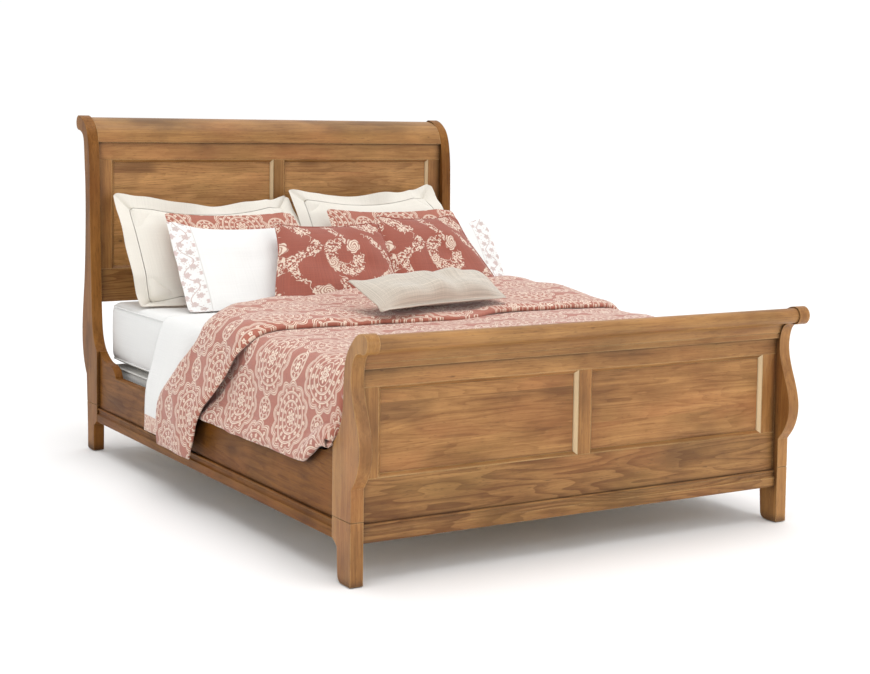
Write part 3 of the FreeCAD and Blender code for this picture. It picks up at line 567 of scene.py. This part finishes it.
def sheet_hem(g, u, v, base, threads):
    """The sheet's printed band: medallions on the strip along its hanging sides."""
    band = g.step(u, 0.060, 0.058)
    u_small, v_small = u * 1.6, v * 1.6
    ground = g.mix(1.0, base, linear((214, 160, 142)), "MULTIPLY")
    printed, ink = medallions(g, u_small, v_small, ground, threads)
    seam = g.step(g.math("ABSOLUTE", u - 0.0600), 0.0016, 0.0008)
    return g.mix(band, base, printed), ink * band - seam


def ticking(g, u, v, base, threads):
    """Fine woven stripes."""
    stripe = g.step(g.math("ABSOLUTE", g.math("SINE", u * (math.pi / 0.022))), 0.30, 0.22)
    pin = g.step(g.math("ABSOLUTE", g.math("SINE", u * (math.pi / 0.022) + 0.55)), 0.10, 0.05)
    ink = g.math("MAXIMUM", stripe, pin)
    return g.mix(ink * 0.7, base, linear((206, 208, 210))), ink * 0.1


# ---------------------------------------------------------------- cloth and stuffing shapes

def ease(t, low, high):
    """0 at low and 1 at high, smooth between them."""
    t = np.clip((t - low) / (high - low), 0, 1)
    return t * t * (3 - 2 * t)


def ripple(points, scale, seed):
    """Smooth unevenness, from -1 to 1, at each point."""
    flat = np.asarray(points, float).reshape(-1, 3) / scale + seed
    return np.array([noise.noise(p) for p in flat]).reshape(np.shape(points)[:-1]) * 1.6


def soft_piece(name, verts, faces, uv, finish, slot, stands_for=(), body="bed"):
    """A mesh with one cloth coordinate for each vertex."""
    mesh = bpy.data.meshes.new(name)
    mesh.from_pydata(verts.tolist(), [], faces)
    layer = mesh.uv_layers.new(name="cloth")
    index = np.empty(len(mesh.loops), np.int32)
    mesh.loops.foreach_get("vertex_index", index)
    layer.data.foreach_set("uv", np.asarray(uv, np.float32)[index].ravel())
    mesh.polygons.foreach_set("use_smooth", [True] * len(mesh.polygons))
    mesh.update()
    piece = bpy.data.objects.new(name, mesh)
    scene.collection.objects.link(piece)
    mesh.materials.append(finish)
    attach(piece, body)
    if stands_for:
        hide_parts(*stands_for)
    return piece


def grid_faces(rows, cols, start=0, flip=False):
    """The quads of a grid of points, the first of which is number start."""
    i, j = np.meshgrid(np.arange(rows - 1), np.arange(cols - 1), indexing="ij")
    a = (i * cols + j).ravel() + start
    quads = np.stack([a, a + 1, a + cols + 1, a + cols], 1)
    return quads[:, ::-1].tolist() if flip else quads.tolist()


def stuffed_grid(name, middle, half, uv, **more):
    """A closed form either side of a mid-surface, half thick at each point."""
    rows, cols = middle.shape[:2]
    normal = np.cross(np.gradient(middle, axis=1), np.gradient(middle, axis=0))
    normal /= np.linalg.norm(normal, axis=2, keepdims=True) + 1e-12
    upper, lower = middle + normal * half[..., None], middle - normal * half[..., None]
    n = rows * cols
    faces = grid_faces(rows, cols) + grid_faces(rows, cols, n, True)
    rim = ([(0, j) for j in range(cols)] + [(i, cols - 1) for i in range(1, rows)]
           + [(rows - 1, j) for j in range(cols - 2, -1, -1)] + [(i, 0) for i in range(rows - 2, 0, -1)])
    ids = [i * cols + j for i, j in rim]
    for a, b in zip(ids, ids[1:] + ids[:1]):
        faces.append([b, a, a + n, b + n])
    verts = np.concatenate([upper.reshape(-1, 3), lower.reshape(-1, 3)])
    return soft_piece(name, verts, faces, np.concatenate([uv.reshape(-1, 2)] * 2), **more)


def tube(points, radius, sides=8):
    """A cord along a closed loop of points, as vertices and faces."""
    p = np.asarray(points)
    along = np.roll(p, -1, 0) - np.roll(p, 1, 0)
    along /= np.linalg.norm(along, axis=1, keepdims=True) + 1e-12
    out = p - p.mean(0)
    side = np.cross(along, out)
    side /= np.linalg.norm(side, axis=1, keepdims=True) + 1e-12
    up = np.cross(side, along)
    turn = np.linspace(0, 2 * np.pi, sides, endpoint=False)
    ring = (p[:, None] + radius * (np.cos(turn)[None, :, None] * side[:, None]
                                   + np.sin(turn)[None, :, None] * up[:, None]))
    n = len(p)
    faces = [[i * sides + k, i * sides + (k + 1) % sides, (i + 1) % n * sides + (k + 1) % sides,
              (i + 1) % n * sides + k] for i in range(n) for k in range(sides)]
    run = np.concatenate([[0], np.cumsum(np.linalg.norm(np.diff(p, axis=0), axis=1))])
    uv = np.stack([np.repeat(run, sides), np.tile(turn * radius, n)], 1)
    return ring.reshape(-1, 3), faces, uv


def rounded_block(name, low, high, radius, cuts, crown, piping=0.004, **more):
    """A foam or sprung block: rounded edges, crowned top and bottom, a piped seam round each."""
    upright_cuts, bulge = 12, 0.004
    low, high = np.array(low), np.array(high)
    centre, half = (low + high) / 2, (high - low) / 2
    verts, faces, uv = [], [], []
    for axis in range(3):
        a, b = [k for k in range(3) if k != axis]
        na, nb = (upright_cuts if k == 2 else cuts for k in (a, b))
        s, t = np.meshgrid(np.linspace(-1, 1, na + 1), np.linspace(-1, 1, nb + 1), indexing="ij")
        for way in (-1, 1):
            p = np.zeros((na + 1, nb + 1, 3))
            p[..., axis], p[..., a], p[..., b] = way, s, t
            flip = (way > 0) == (axis == 1)
            faces += grid_faces(na + 1, nb + 1, sum(len(x) for x in verts), not flip)
            verts.append((p * half).reshape(-1, 3))
            uv.append(np.stack([(p * half)[..., a].ravel(), (p * half)[..., b].ravel()], 1))
    v = np.concatenate(verts)
    core = np.clip(v, -(half - radius), half - radius)
    d = v - core
    length = np.linalg.norm(d, axis=1, keepdims=True)
    v = np.where(length > 1e-9, core + d / np.maximum(length, 1e-9) * radius, v)
    swell = (1 - (v[:, 0] / half[0]) ** 4) * (1 - (v[:, 1] / half[1]) ** 4)
    v[:, 2] += np.sign(v[:, 2]) * (np.abs(v[:, 2]) > half[2] - radius) * crown * (swell - 1)
    side = (1 - (v[:, 2] / half[2]) ** 2) * bulge
    v[:, 0] += np.sign(v[:, 0]) * (np.abs(v[:, 0]) > half[0] - radius) * (side - bulge)
    uv = np.concatenate(uv)
    for way in (-1, 1):
        z = way * (half[2] - radius * 0.55)
        inset = radius * 0.17
        corners = []
        hx, hy, r = half[0] - inset, half[1] - inset, radius
        for k in range(4):
            cx, cy = (hx - r) * (1, -1, -1, 1)[k], (hy - r) * (1, 1, -1, -1)[k]
            for q in np.linspace(k * np.pi / 2, (k + 1) * np.pi / 2, 9):
                corners.append((cx + r * math.cos(q), cy + r * math.sin(q), z))
        tv, tf, tuv = tube(corners, piping)
        faces += [[i + len(v) for i in f] for f in tf]
        v, uv = np.concatenate([v, tv]), np.concatenate([uv, tuv])
    piece = soft_piece(name, v + centre, faces, uv, **more)
    weld = bmesh.new()
    weld.from_mesh(piece.data)
    bmesh.ops.remove_doubles(weld, verts=weld.verts, dist=1e-5)
    bmesh.ops.recalc_face_normals(weld, faces=weld.faces)
    weld.to_mesh(piece.data)
    weld.free()
    return piece


def section(controls, weights):
    """Smooth positions along control points (any columns), as many in each span as its weight says."""
    c = np.asarray(controls, float)
    spans = [np.linspace(i, i + 1, n, endpoint=False) for i, n in enumerate(weights)]
    t = np.concatenate(spans + [[len(weights)]])
    c = np.concatenate([2 * c[:1] - c[1:2], c, 2 * c[-1:] - c[-2:-1]])
    i = np.minimum(t.astype(int), len(weights) - 1)
    f = (t - i)[:, None]
    p0, p1, p2, p3 = (c[i + k] for k in range(4))
    return 0.5 * (2 * p1 + (p2 - p0) * f + (2 * p0 - 5 * p1 + 4 * p2 - p3) * f ** 2
                  + (3 * p1 - p0 - 3 * p2 + p3) * f ** 3)


def both_sides(left, right):
    """Joins the half that runs out to the left with the one that runs out to the right."""
    left = left.copy()
    left[:, 0] *= -1
    return np.concatenate([left[::-1], right[1:]])


# ---------------------------------------------------------------- covers

FOOT_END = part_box("foot_base_moulding")[0].y - 0.0125     # foot legs' front face
FOOT_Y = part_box("mattress")[0].y                          # foot end of the mattress


def mattress_pieces():
    """The box spring, the mattress, and the fitted sheet stretched over the mattress."""
    low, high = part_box("foundation")
    cover = cloth_finish("ticking", (240, 238, 232), 0.0009, 0.08, fill=ticking)
    base = rounded_block("box_spring", low, high, 0.022, 60, 0.004, finish=cover, slot="ticking",
                         stands_for=["foundation"])
    low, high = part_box("mattress")
    cover = cloth_finish("mattress_cover", (238, 234, 224), 0.0008, 0.08)
    pad = rounded_block("mattress_pad", low, high, 0.035, 70, 0.004, piping=0.0014, finish=cover,
                        slot="mattress_cover", stands_for=["mattress"])
    out = 0.0018
    low_skin, high_skin = low - Vector((out, out, -0.002)), high + Vector((out, out, out))
    skin = rounded_block("fitted_sheet_cloth", low_skin, high_skin, 0.036, 90, 0.004, piping=0.0036,
                         finish=percale("white_percale"), slot="white_cotton", stands_for=["fitted_sheet"])
    co = np.array([v.co for v in skin.data.vertices])
    side = (np.abs(co[:, 0]) > 0.75) | (np.abs(co[:, 1] + 0.017) > 1.0)
    pull = ripple(co * (1, 1, 0.25), 0.16, 4.0) * 0.0018 * side
    co[:, 0] += np.sign(co[:, 0]) * np.maximum(pull, 0)
    skin.data.vertices.foreach_set("co", co.astype(np.float32).ravel())
    open_bottom = bmesh.new()
    open_bottom.from_mesh(skin.data)
    gone = [f for f in open_bottom.faces
            if f.calc_center_median().z < low.z + 0.010 and abs(f.normal.z) > 0.8]
    bmesh.ops.delete(open_bottom, geom=gone, context="FACES")
    open_bottom.to_mesh(skin.data)
    open_bottom.free()


def flat_sheet_piece(finish):
    """Lies under the comforter, is tucked down inside the rails, and hangs over them near its head end."""
    weights = [26, 14, 6, 5, 5, 6, 6, 6, 6]
    tucked = section([(0, .6022), (.60, .6022), (.715, .602), (.752, .594), (.7665, .562), (.768, .51),
                      (.769, .44), (.7695, .37), (.77, .30), (.77, .215)], weights)
    free = section([(0, .6022), (.60, .6022), (.715, .602), (.757, .592), (.779, .55), (.797, .48),
                    (.815, .41), (.831, .347), (.8375, .28), (.8385, .188)], weights)
    rows = 120
    s = np.linspace(0, 1, rows)
    head = 1.635 + FOOT_END
    y = FOOT_Y + 0.004 + s * (head - FOOT_Y - 0.004)
    w = ease(y, 1.30 + FOOT_END, 1.40 + FOOT_END)[:, None, None]
    line_t, line_f = both_sides(tucked, tucked), both_sides(free, free)
    xz = line_t[None] * (1 - w) + line_f[None] * w
    mid = np.zeros((rows, len(line_t), 3))
    mid[..., 0], mid[..., 2] = xz[..., 0], xz[..., 1]
    flare = ease(0.60 - mid[..., 2], 0, 0.40)
    mid[..., 1] = y[:, None] + s[:, None] ** 6 * (0.016 * ripple(mid * (1, 0, 0), 0.3, 2.0) - 0.012 * flare)
    wave = ripple(mid, 0.11, 7.0) * 0.0035 * ease(mid[..., 1], 1.36 + FOOT_END, 1.48 + FOOT_END)
    mid[..., 0] += np.sign(mid[..., 0]) * np.abs(wave) * flare
    mid[..., 2] += np.abs(wave) * 0.5 * (1 - flare)
    seg = np.linalg.norm(np.diff(mid, axis=1), axis=2)
    u = np.concatenate([np.zeros((rows, 1)), np.cumsum(seg, 1)], 1)
    u = np.minimum(u, u[:, -1:] - u)
    uv = np.stack([u, np.broadcast_to(mid[..., 1], u.shape)], 2)
    piece = stuffed_grid("flat_sheet_cloth", mid, np.full(mid.shape[:2], 0.0009), uv, finish=finish,
                         slot="white_cotton", stands_for=["flat_sheet"])


def comforter_piece(finish):
    """One quilted cover. Its head end is folded back over itself and hangs outside the rails."""
    weights = [14, 14, 8, 7, 7, 7, 7, 6, 6, 7]
    main = section([(0, .624), (.30, .624), (.60, .624), (.705, .621), (.762, .604), (.784, .560),
                    (.790, .510), (.797, .455), (.808, .395), (.829, .350), (.8415, .314)], weights)
    under = section([(0, .623), (.30, .623), (.60, .623), (.705, .620), (.765, .600), (.794, .550),
                     (.812, .48), (.830, .41), (.8445, .345), (.8475, .27), (.8475, .178)], weights)
    over = section([(0, .661), (.30, .661), (.60, .661), (.712, .658), (.782, .636), (.818, .580),
                    (.835, .500), (.851, .415), (.8635, .350), (.8665, .27), (.8665, .172)], weights)

    def edge(left, right):
        l, r = (section(np.stack([np.zeros(11), v], 1), weights)[:, 1] for v in (left, right))
        return np.concatenate([l[::-1], r[1:]]) + FOOT_END
    fold_at = edge([1.52, 1.41, 1.27, 1.165, 1.12, 1.14, 1.225, 1.320, 1.385, 1.410, 1.420],
                   [1.52, 1.55, 1.555, 1.545, 1.53, 1.52, 1.52, 1.52, 1.52, 1.51, 1.50])
    hem_at = edge([.80, .81, .815, .80, .795, .82, .885, .970, 1.035, 1.085, 1.127],
                  [.80, .91, .90, .905, .91, .93, .98, 1.03, 1.08, 1.12, 1.15])
    sec_main, sec_under, sec_over = (both_sides(c, c) for c in (main, under, over))
    cols = len(sec_main)
    hang = ease(0.60 - sec_main[:, 1], 0, 0.06)
    # the lower layer, from the foot to the fold
    tuck, low_rows, turn_rows, top_rows = 12, 120, 9, 62
    s = np.linspace(0, 1, low_rows) ** 0.92
    y = FOOT_Y + 0.008 + s[:, None] * (fold_at - FOOT_Y - 0.008)[None]
    w = ease(y, 1.10 + FOOT_END, 1.27 + FOOT_END)[..., None]
    xz = sec_main[None] * (1 - w) + sec_under[None] * w
    lower = np.stack([xz[..., 0], y, xz[..., 1]], 2)
    # over the foot end of the mattress and down behind the footboard
    q = np.linspace(1, 0, tuck, endpoint=False)[:, None]
    bend = np.minimum(q * 2.0, 1.0) * np.pi / 2
    down = 0.075 * (1 - np.cos(bend)) + np.maximum(q - 0.5, 0) * 2 * 0.12
    out = 0.075 * np.sin(bend)
    foot = np.repeat(lower[:1], tuck, 0)
    foot[..., 1] -= out
    room = (foot[..., 2] - 0.335) / (0.624 - 0.335)
    foot[..., 2] -= down * room
    foot[..., 0] *= 1 - 0.010 * q * room
    corner = ease(np.abs(sec_main[:, 0]), 0.772, 0.784)
    foot[..., 1] = np.maximum(foot[..., 1], FOOT_END + 0.13 - 0.06 * (1 - corner)[None])
    # the turn at the fold, and the upper layer back to its hem
    a = np.linspace(0, np.pi, turn_rows + 2)[1:-1, None]
    mix_up = (1 - np.cos(a)) / 2
    curl = 0.024
    turn_xz = sec_under[None] * (1 - mix_up[..., None]) + sec_over[None] * mix_up[..., None]
    turn = np.stack([turn_xz[..., 0], fold_at[None] + curl * np.sin(a), turn_xz[..., 1]], 2)
    t = np.linspace(0, 1, top_rows)[:, None]
    yu = fold_at[None] + t * (hem_at - fold_at)[None]
    over_x, over_z = (np.broadcast_to(sec_over[:, k], yu.shape) for k in (0, 1))
    upper = np.stack([over_x, yu, over_z], 2)
    upper[..., 2] -= 0.013 * ease(t, 0.72, 1.0) * (1 - hang)[None]
    mid = np.concatenate([foot, lower, turn, upper])
    # cloth coordinates: across by arc length, along by distance, turned over at the fold
    seg = np.linalg.norm(np.diff(mid[..., [0, 2]], axis=1), axis=2)
    u = np.concatenate([np.zeros((len(mid), 1)), np.cumsum(seg, 1)], 1)
    u -= u[:, cols // 2][:, None]
    v = mid[..., 1].copy()
    v[:tuck] -= down * 0.9
    n_low = tuck + low_rows
    print_turn = 0.44
    v[n_low:n_low + turn_rows] = 2 * print_turn - fold_at[None] + curl * (np.pi / 2 - a)
    v[n_low + turn_rows:] = 2 * print_turn - yu - curl * 0.55
    uv = np.stack([u, v], 2)
    # puffiness: fuller near the fold, dimples where it is held down
    swell = ripple(mid * (1, 1, 0.6), 0.19, 3.0) * 0.0055 + ripple(mid, 0.07, 9.0) * 0.0022
    fold_puff = np.exp(-((mid[..., 1] - fold_at[None] + 0.05) / 0.07) ** 2) * 0.009
    right_puff = ease(mid[..., 0], 0.30, 0.70) * ease(0.80 - mid[..., 0], 0, 0.06) * 0.020
    right_puff *= ease(mid[..., 1], -0.30, 0.1)
    on_top = 1 - hang[None]
    lift = (swell + fold_puff) * on_top + right_puff
    layer = np.zeros(len(mid))
    layer[n_low + turn_rows:] = 1
    layer[n_low:n_low + turn_rows] = mix_up[:, 0]
    covered = (mid[..., 1] > hem_at[None] - 0.02) & (layer[:, None] < 0.5)
    mid[..., 2] += np.where(covered, 0, lift)
    sway = ripple(mid * (0, 1, 0.35), 0.16, 21.0) * 0.008 + ripple(mid * (0, 1, 1), 0.07, 5.0) * 0.002
    sway = sway * hang[None] * np.where(covered, 0.15, 1) * ease(mid[..., 1], -1.0, -0.8)
    mid[..., 0] += np.sign(mid[..., 0]) * np.maximum(sway, -0.0035)
    hem_low = ease(np.abs(mid[..., 0]), 0.77, 0.788) * ease(0.46 - mid[..., 2], 0, 0.12)
    hem_low = hem_low * (layer[:, None] < 0.5)
    rise = 0.075 * (1 - ease(mid[..., 1], -1.0, -0.845)) + 0.004 * ripple(mid * (0, 1, 0), 0.10, 13.0)
    mid[..., 2] += hem_low * rise * (mid[..., 1] < hem_at[None])
    # thickness: thin at the seams, flatter where it hangs double
    rows = len(mid)
    i, j = np.meshgrid(np.arange(rows), np.arange(cols), indexing="ij")
    side_seam = ease(np.minimum(j, cols - 1 - j) * 0.009, -0.004, 0.035)
    seam = np.minimum(side_seam, ease((rows - 1 - i) * 0.012, -0.004, 0.04))
    half = np.full(mid.shape[:2], 0.0178)
    half -= hang[None] * np.where(mid[..., 1] > hem_at[None] - 0.04, 0.0095, 0.0)
    half = half * (0.30 + 0.70 * seam)
    piece = stuffed_grid("comforter_quilt", mid, half, uv, finish=finish, slot="medallion_cotton",
                         stands_for=["comforter"])


# ---------------------------------------------------------------- pillows and cushions

def sewn_case(name, width, height, cell, slack=0.012):
    """Two panels sewn round the rim, still almost flat. The faces of both panels turn the same way, so the
    pressure in fill_cases carries the case along and does not part its panels."""
    nx, ny = max(12, round(width / cell)), max(10, round(height / cell))
    x, y = np.meshgrid(np.linspace(-1, 1, nx + 1), np.linspace(-1, 1, ny + 1), indexing="ij")
    full = (1 - x ** 4) * (1 - y ** 4)
    p = np.stack([x * width / 2, y * height / 2, slack * full], 2)
    p[..., 2] += ripple(p, 0.09, len(name) * 1.7) * 0.003 * full
    rim = (np.abs(x) == 1) | (np.abs(y) == 1)
    index = np.arange((nx + 1) * (ny + 1)).reshape(nx + 1, ny + 1)
    under = index + index.size
    under[rim] = index[rim]
    above = np.array(grid_faces(nx + 1, ny + 1))
    quads = np.concatenate([above, under.ravel()[above]])[:, ::-1]
    verts = np.concatenate([p.reshape(-1, 3), (p * (1, 1, -1)).reshape(-1, 3)])
    used = np.unique(quads)
    renumber = np.full(len(verts), -1)
    renumber[used] = np.arange(len(used))
    flat = verts[used][:, :2] + (width / 2, height / 2)
    loop = [index[i, 0] for i in range(nx + 1)] + [index[nx, j] for j in range(1, ny + 1)]
    loop += [index[i, ny] for i in range(nx - 1, -1, -1)] + [index[0, j] for j in range(ny - 1, 0, -1)]
    return verts[used], renumber[quads].tolist(), flat, renumber[loop].tolist()


def fill_cases(cases, frames=20, pressure=4.0):
    """Runs Blender's cloth, with pressure, on every case at once, and returns their slightly bowed shapes."""
    objects = []
    for name, (verts, faces, _, _) in cases.items():
        mesh = bpy.data.meshes.new("fill_" + name)
        mesh.from_pydata(verts.tolist(), [], faces)
        thing = bpy.data.objects.new("fill_" + name, mesh)
        scene.collection.objects.link(thing)
        cloth = thing.modifiers.new("cloth", "CLOTH")
        s = cloth.settings
        s.quality, s.mass, s.air_damping = 6, 0.25, 2.5
        s.tension_stiffness = s.compression_stiffness = 18
        s.shear_stiffness, s.bending_stiffness = 8, 0.35
        s.use_pressure, s.uniform_pressure_force = True, pressure
        s.effector_weights.gravity = 0
        cloth.point_cache.frame_start, cloth.point_cache.frame_end = 1, frames
        objects.append(thing)
    for f in range(1, frames + 1):
        scene.frame_set(f)
    view = bpy.context.evaluated_depsgraph_get()
    shapes = {}
    for name, thing in zip(cases, objects):
        shapes[name] = np.array([v.co for v in thing.evaluated_get(view).data.vertices])
        bpy.data.objects.remove(thing)
    scene.frame_set(1)
    return shapes


PILLOWS = {
    "sham_left": dict(flange=0.052, sag=0.070, fill=0.55, cell=0.014, plump=1.25, grow=0.012, settle=0.008),
    "sham_right": dict(flange=0.052, sag=0.050, fill=0.55, cell=0.014, plump=1.25, grow=0.008, lift=0.02,
                       settle=0.008),
    "medallion_pillow_left": dict(sag=0.006, fill=0.6, cell=0.015, grow=-0.010),
    "medallion_pillow_right": dict(sag=0.010, fill=0.6, cell=0.015),
    "white_pillow_left": dict(sag=0.008, fill=0.7, cell=0.014, cuff=-1, plump=1.3, grow=0.012, settle=0.010),
    "white_pillow_right": dict(sag=0.012, fill=0.7, cell=0.014, cuff=1, plump=1.2, settle=0.010),
    "toile_cushion_left": dict(sag=0.004, fill=0.7, cell=0.011, cord=0.003, left=(0, 0.09), right=(0.01, 0),
                               plump=1.15, settle=0.012),
    "toile_cushion_right": dict(sag=0.004, fill=0.7, cell=0.011, cord=0.003, right=(-0.06, 0.04),
                                plump=1.15, settle=0.012),
    "lumbar_cushion": dict(sag=0.004, fill=0.6, cell=0.010, cord=0.0034, lean=80, turn=14.5, plump=0.98,
                           grow=0.006, right=(0.03, 0), lying=26),
}


def leaning_frame(node, spec):
    """The middle of the solid's foot, its width, length up the slope, thickness, lean and turn.
    A cushion that is lying has its height run back over the foot instead."""
    low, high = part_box(node)
    lean, turn = math.radians(spec.get("lean", 54)), math.radians(spec.get("turn", 0))
    rise = high.z - low.z
    c, s = math.cos(turn), math.sin(turn)
    box_x, box_y = high.x - low.x, high.y - low.y
    width = (box_x * c - box_y * s) / (c * c - s * s)
    deep = (box_y * c - box_x * s) / (c * c - s * s)
    thick = deep - rise / math.tan(lean)
    back = -deep / 2 + thick / 2
    foot = Vector(((low.x + high.x) / 2 - back * s, (low.y + high.y) / 2 + back * c, low.z))
    tall, thick = rise / math.sin(lean), thick * math.sin(lean)
    if "lying" in spec:
        foot += Vector((s, -c, 0)) * thick / 2
        tall, thick, lean = thick * 1.04, tall, math.radians(spec["lying"])
    return foot, width, tall, thick, lean, turn


def lay_out(node, shape, rim, flat, spec):
    """Scales a case to its place, then lets it sag, flare, rest and lean."""
    foot, width, tall, thick, lean, turn = leaning_frame(node, spec)
    rest_height = thick * 0.10 if "lying" in spec else 0.0
    border, grow = spec.get("flange", 0), spec.get("grow", 0)
    inner_w, inner_h = width - 2 * border + 2 * grow, tall - 2 * border + grow
    shape = shape - (shape.max(0) + shape.min(0)) / 2
    p = shape / (shape.max(0) * 2) * (inner_w, inner_h, thick * 0.97 * spec.get("plump", 1))
    a, b = p[:, 0] / inner_w * 2, p[:, 1] / inner_h * 2
    cuff = spec.get("cuff", 0)
    uv = flat.copy()
    if cuff:
        open_end = ease(a * cuff, 0.66, 1.0)
        p[:, 2] *= 1 - 0.72 * open_end
        p[:, 0] += cuff * 0.034 * open_end
        p[:, 1] *= 1 + 0.10 * open_end
        p[:, 2] += open_end * ripple(p * (0, 1, 0), 0.09, 6.0) * 0.008
    if cuff > 0:
        uv[:, 0] = flat[:, 0].max() - flat[:, 0]
    p[:, 2] *= 1 + 0.12 * np.clip(-b, -1, 1)
    faces, verts, uvs = [], [p], [uv]
    n, m = len(p), len(rim)
    if border:
        ring = p[rim]
        grow_out = np.stack([np.sign(ring[:, 0]) * (np.abs(ring[:, 0]) > inner_w * 0.46),
                             np.sign(ring[:, 1]) * (np.abs(ring[:, 1]) > inner_h * 0.44)], 1)
        steps = 6
        for k in range(1, steps + 1):
            f = k / steps
            one = ring.copy()
            one[:, :2] += grow_out * border * f
            one[:, 2] += ripple(one * (1, 1, 0), 0.17, 5.0 + len(node)) * 0.018 * f
            one[:, 1] += ripple(one * (1, 0, 0), 0.22, 1.0 + len(node)) * 0.008 * f
            verts.append(one)
            uvs.append(uv[rim] + grow_out * border * f)
        rings = [list(rim)] + [[n + q * m + k for k in range(m)] for q in range(steps)]
        for one, two in zip(rings, rings[1:]):
            faces += [[one[k], one[(k + 1) % m], two[(k + 1) % m], two[k]] for k in range(m)]
    p, uv = np.concatenate(verts), np.concatenate(uvs)
    if spec.get("cord"):
        tv, tf, tuv = tube(p[rim], spec["cord"])
        faces += [[i + len(p) for i in f] for f in tf]
        p, uv = np.concatenate([p, tv]), np.concatenate([uv, tuv])
    a, b = p[:, 0] / width * 2, p[:, 1] / tall * 2
    p[:, 1] -= spec["sag"] * (1 - np.clip(np.abs(a), 0, 1) ** 2.2) * ease(b, -0.1, 1.0)
    p[:, 1] += 0.014 * np.clip(np.abs(a), 0, 1) ** 3 * ease(b, 0.3, 1.0)
    p[:, 1] += spec.get("lift", 0) * ease(a, 0.0, 1.0) * ease(b, -0.2, 1.0)
    for way, side in ((-1, "left"), (1, "right")):
        top, bottom = spec.get(side, (0, 0))
        p[:, 0] += way * ease(a * way, 0.0, 1.0) * (top * ease(b, -0.9, 1.0) + bottom * ease(-b, -0.9, 1.0))
    p[:, 2] -= 0.012 * ease(b, 0.4, 1.0) * (1 - a ** 2)
    east = np.array((math.cos(turn), math.sin(turn), 0))
    north = np.array((-math.sin(turn), math.cos(turn), 0))
    up = north * math.cos(lean) + np.array((0, 0, math.sin(lean)))
    out = -north * math.sin(lean) + np.array((0, 0, math.cos(lean)))
    world = np.array(foot) + p[:, :1] * east + (p[:, 1:2] + tall / 2) * up + (p[:, 2:] + rest_height) * out
    world[:, 2] -= spec.get("settle", 0)
    floor = foot.z + 0.0025
    sunk = world[:, 2] < floor + 0.02
    world[sunk, 2] = floor + 0.02 * np.exp((world[sunk, 2] - floor - 0.02) / 0.02)
    return world, uv, faces


def pillow_pieces(finishes):
    """Every pillow and cushion, with the finish that its kind has in finishes."""
    cases = {}
    for node, spec in PILLOWS.items():
        _, width, tall, _, _, _ = leaning_frame(node, spec)
        border = spec.get("flange", 0)
        cases[node] = sewn_case(node, width - 2 * border, tall - 2 * border, spec["cell"])
    shapes = fill_cases(cases)
    for node, spec in PILLOWS.items():
        finish, slot = finishes[node.replace("_left", "").replace("_right", "")]
        _, faces, flat, rim = cases[node]
        world, uv, extra = lay_out(node, shapes[node], rim, flat, spec)
        piece = soft_piece(node + "_filled", world, faces + extra, uv, finish, slot, [node])
        smooth = piece.modifiers.new("smooth", "SUBSURF")
        smooth.levels = smooth.render_levels = 1


# ---------------------------------------------------------------- build

make_camera()
make_stage()
finish_cad()
medallion = cloth_finish("medallion_cotton", CLAY, 0.0008, 0.12, fill=medallions)
toile_print = cloth_finish("toile_linen", CLAY_DEEP, 0.0009, 0.16, fill=toile)
white_cased = percale("embroidered_percale", hem_flowers(0.062))
mattress_pieces()
flat_sheet_piece(percale("flat_sheet_percale", sheet_hem))
comforter_piece(medallion)
pillow_pieces({
    "sham": (cloth_finish("cream_sateen", CREAM, 0.0005, 0.04, soft=0.3, fold_shade=0.9), "cream_cotton"),
    "medallion_pillow": (medallion, "medallion_cotton"),
    "white_pillow": (white_cased, "white_cotton"),
    "toile_cushion": (toile_print, "toile_linen"),
    "lumbar_cushion": (cloth_finish("natural_linen", LINEN, 0.0011, 0.22, bump=0.7), "natural_linen"),
})
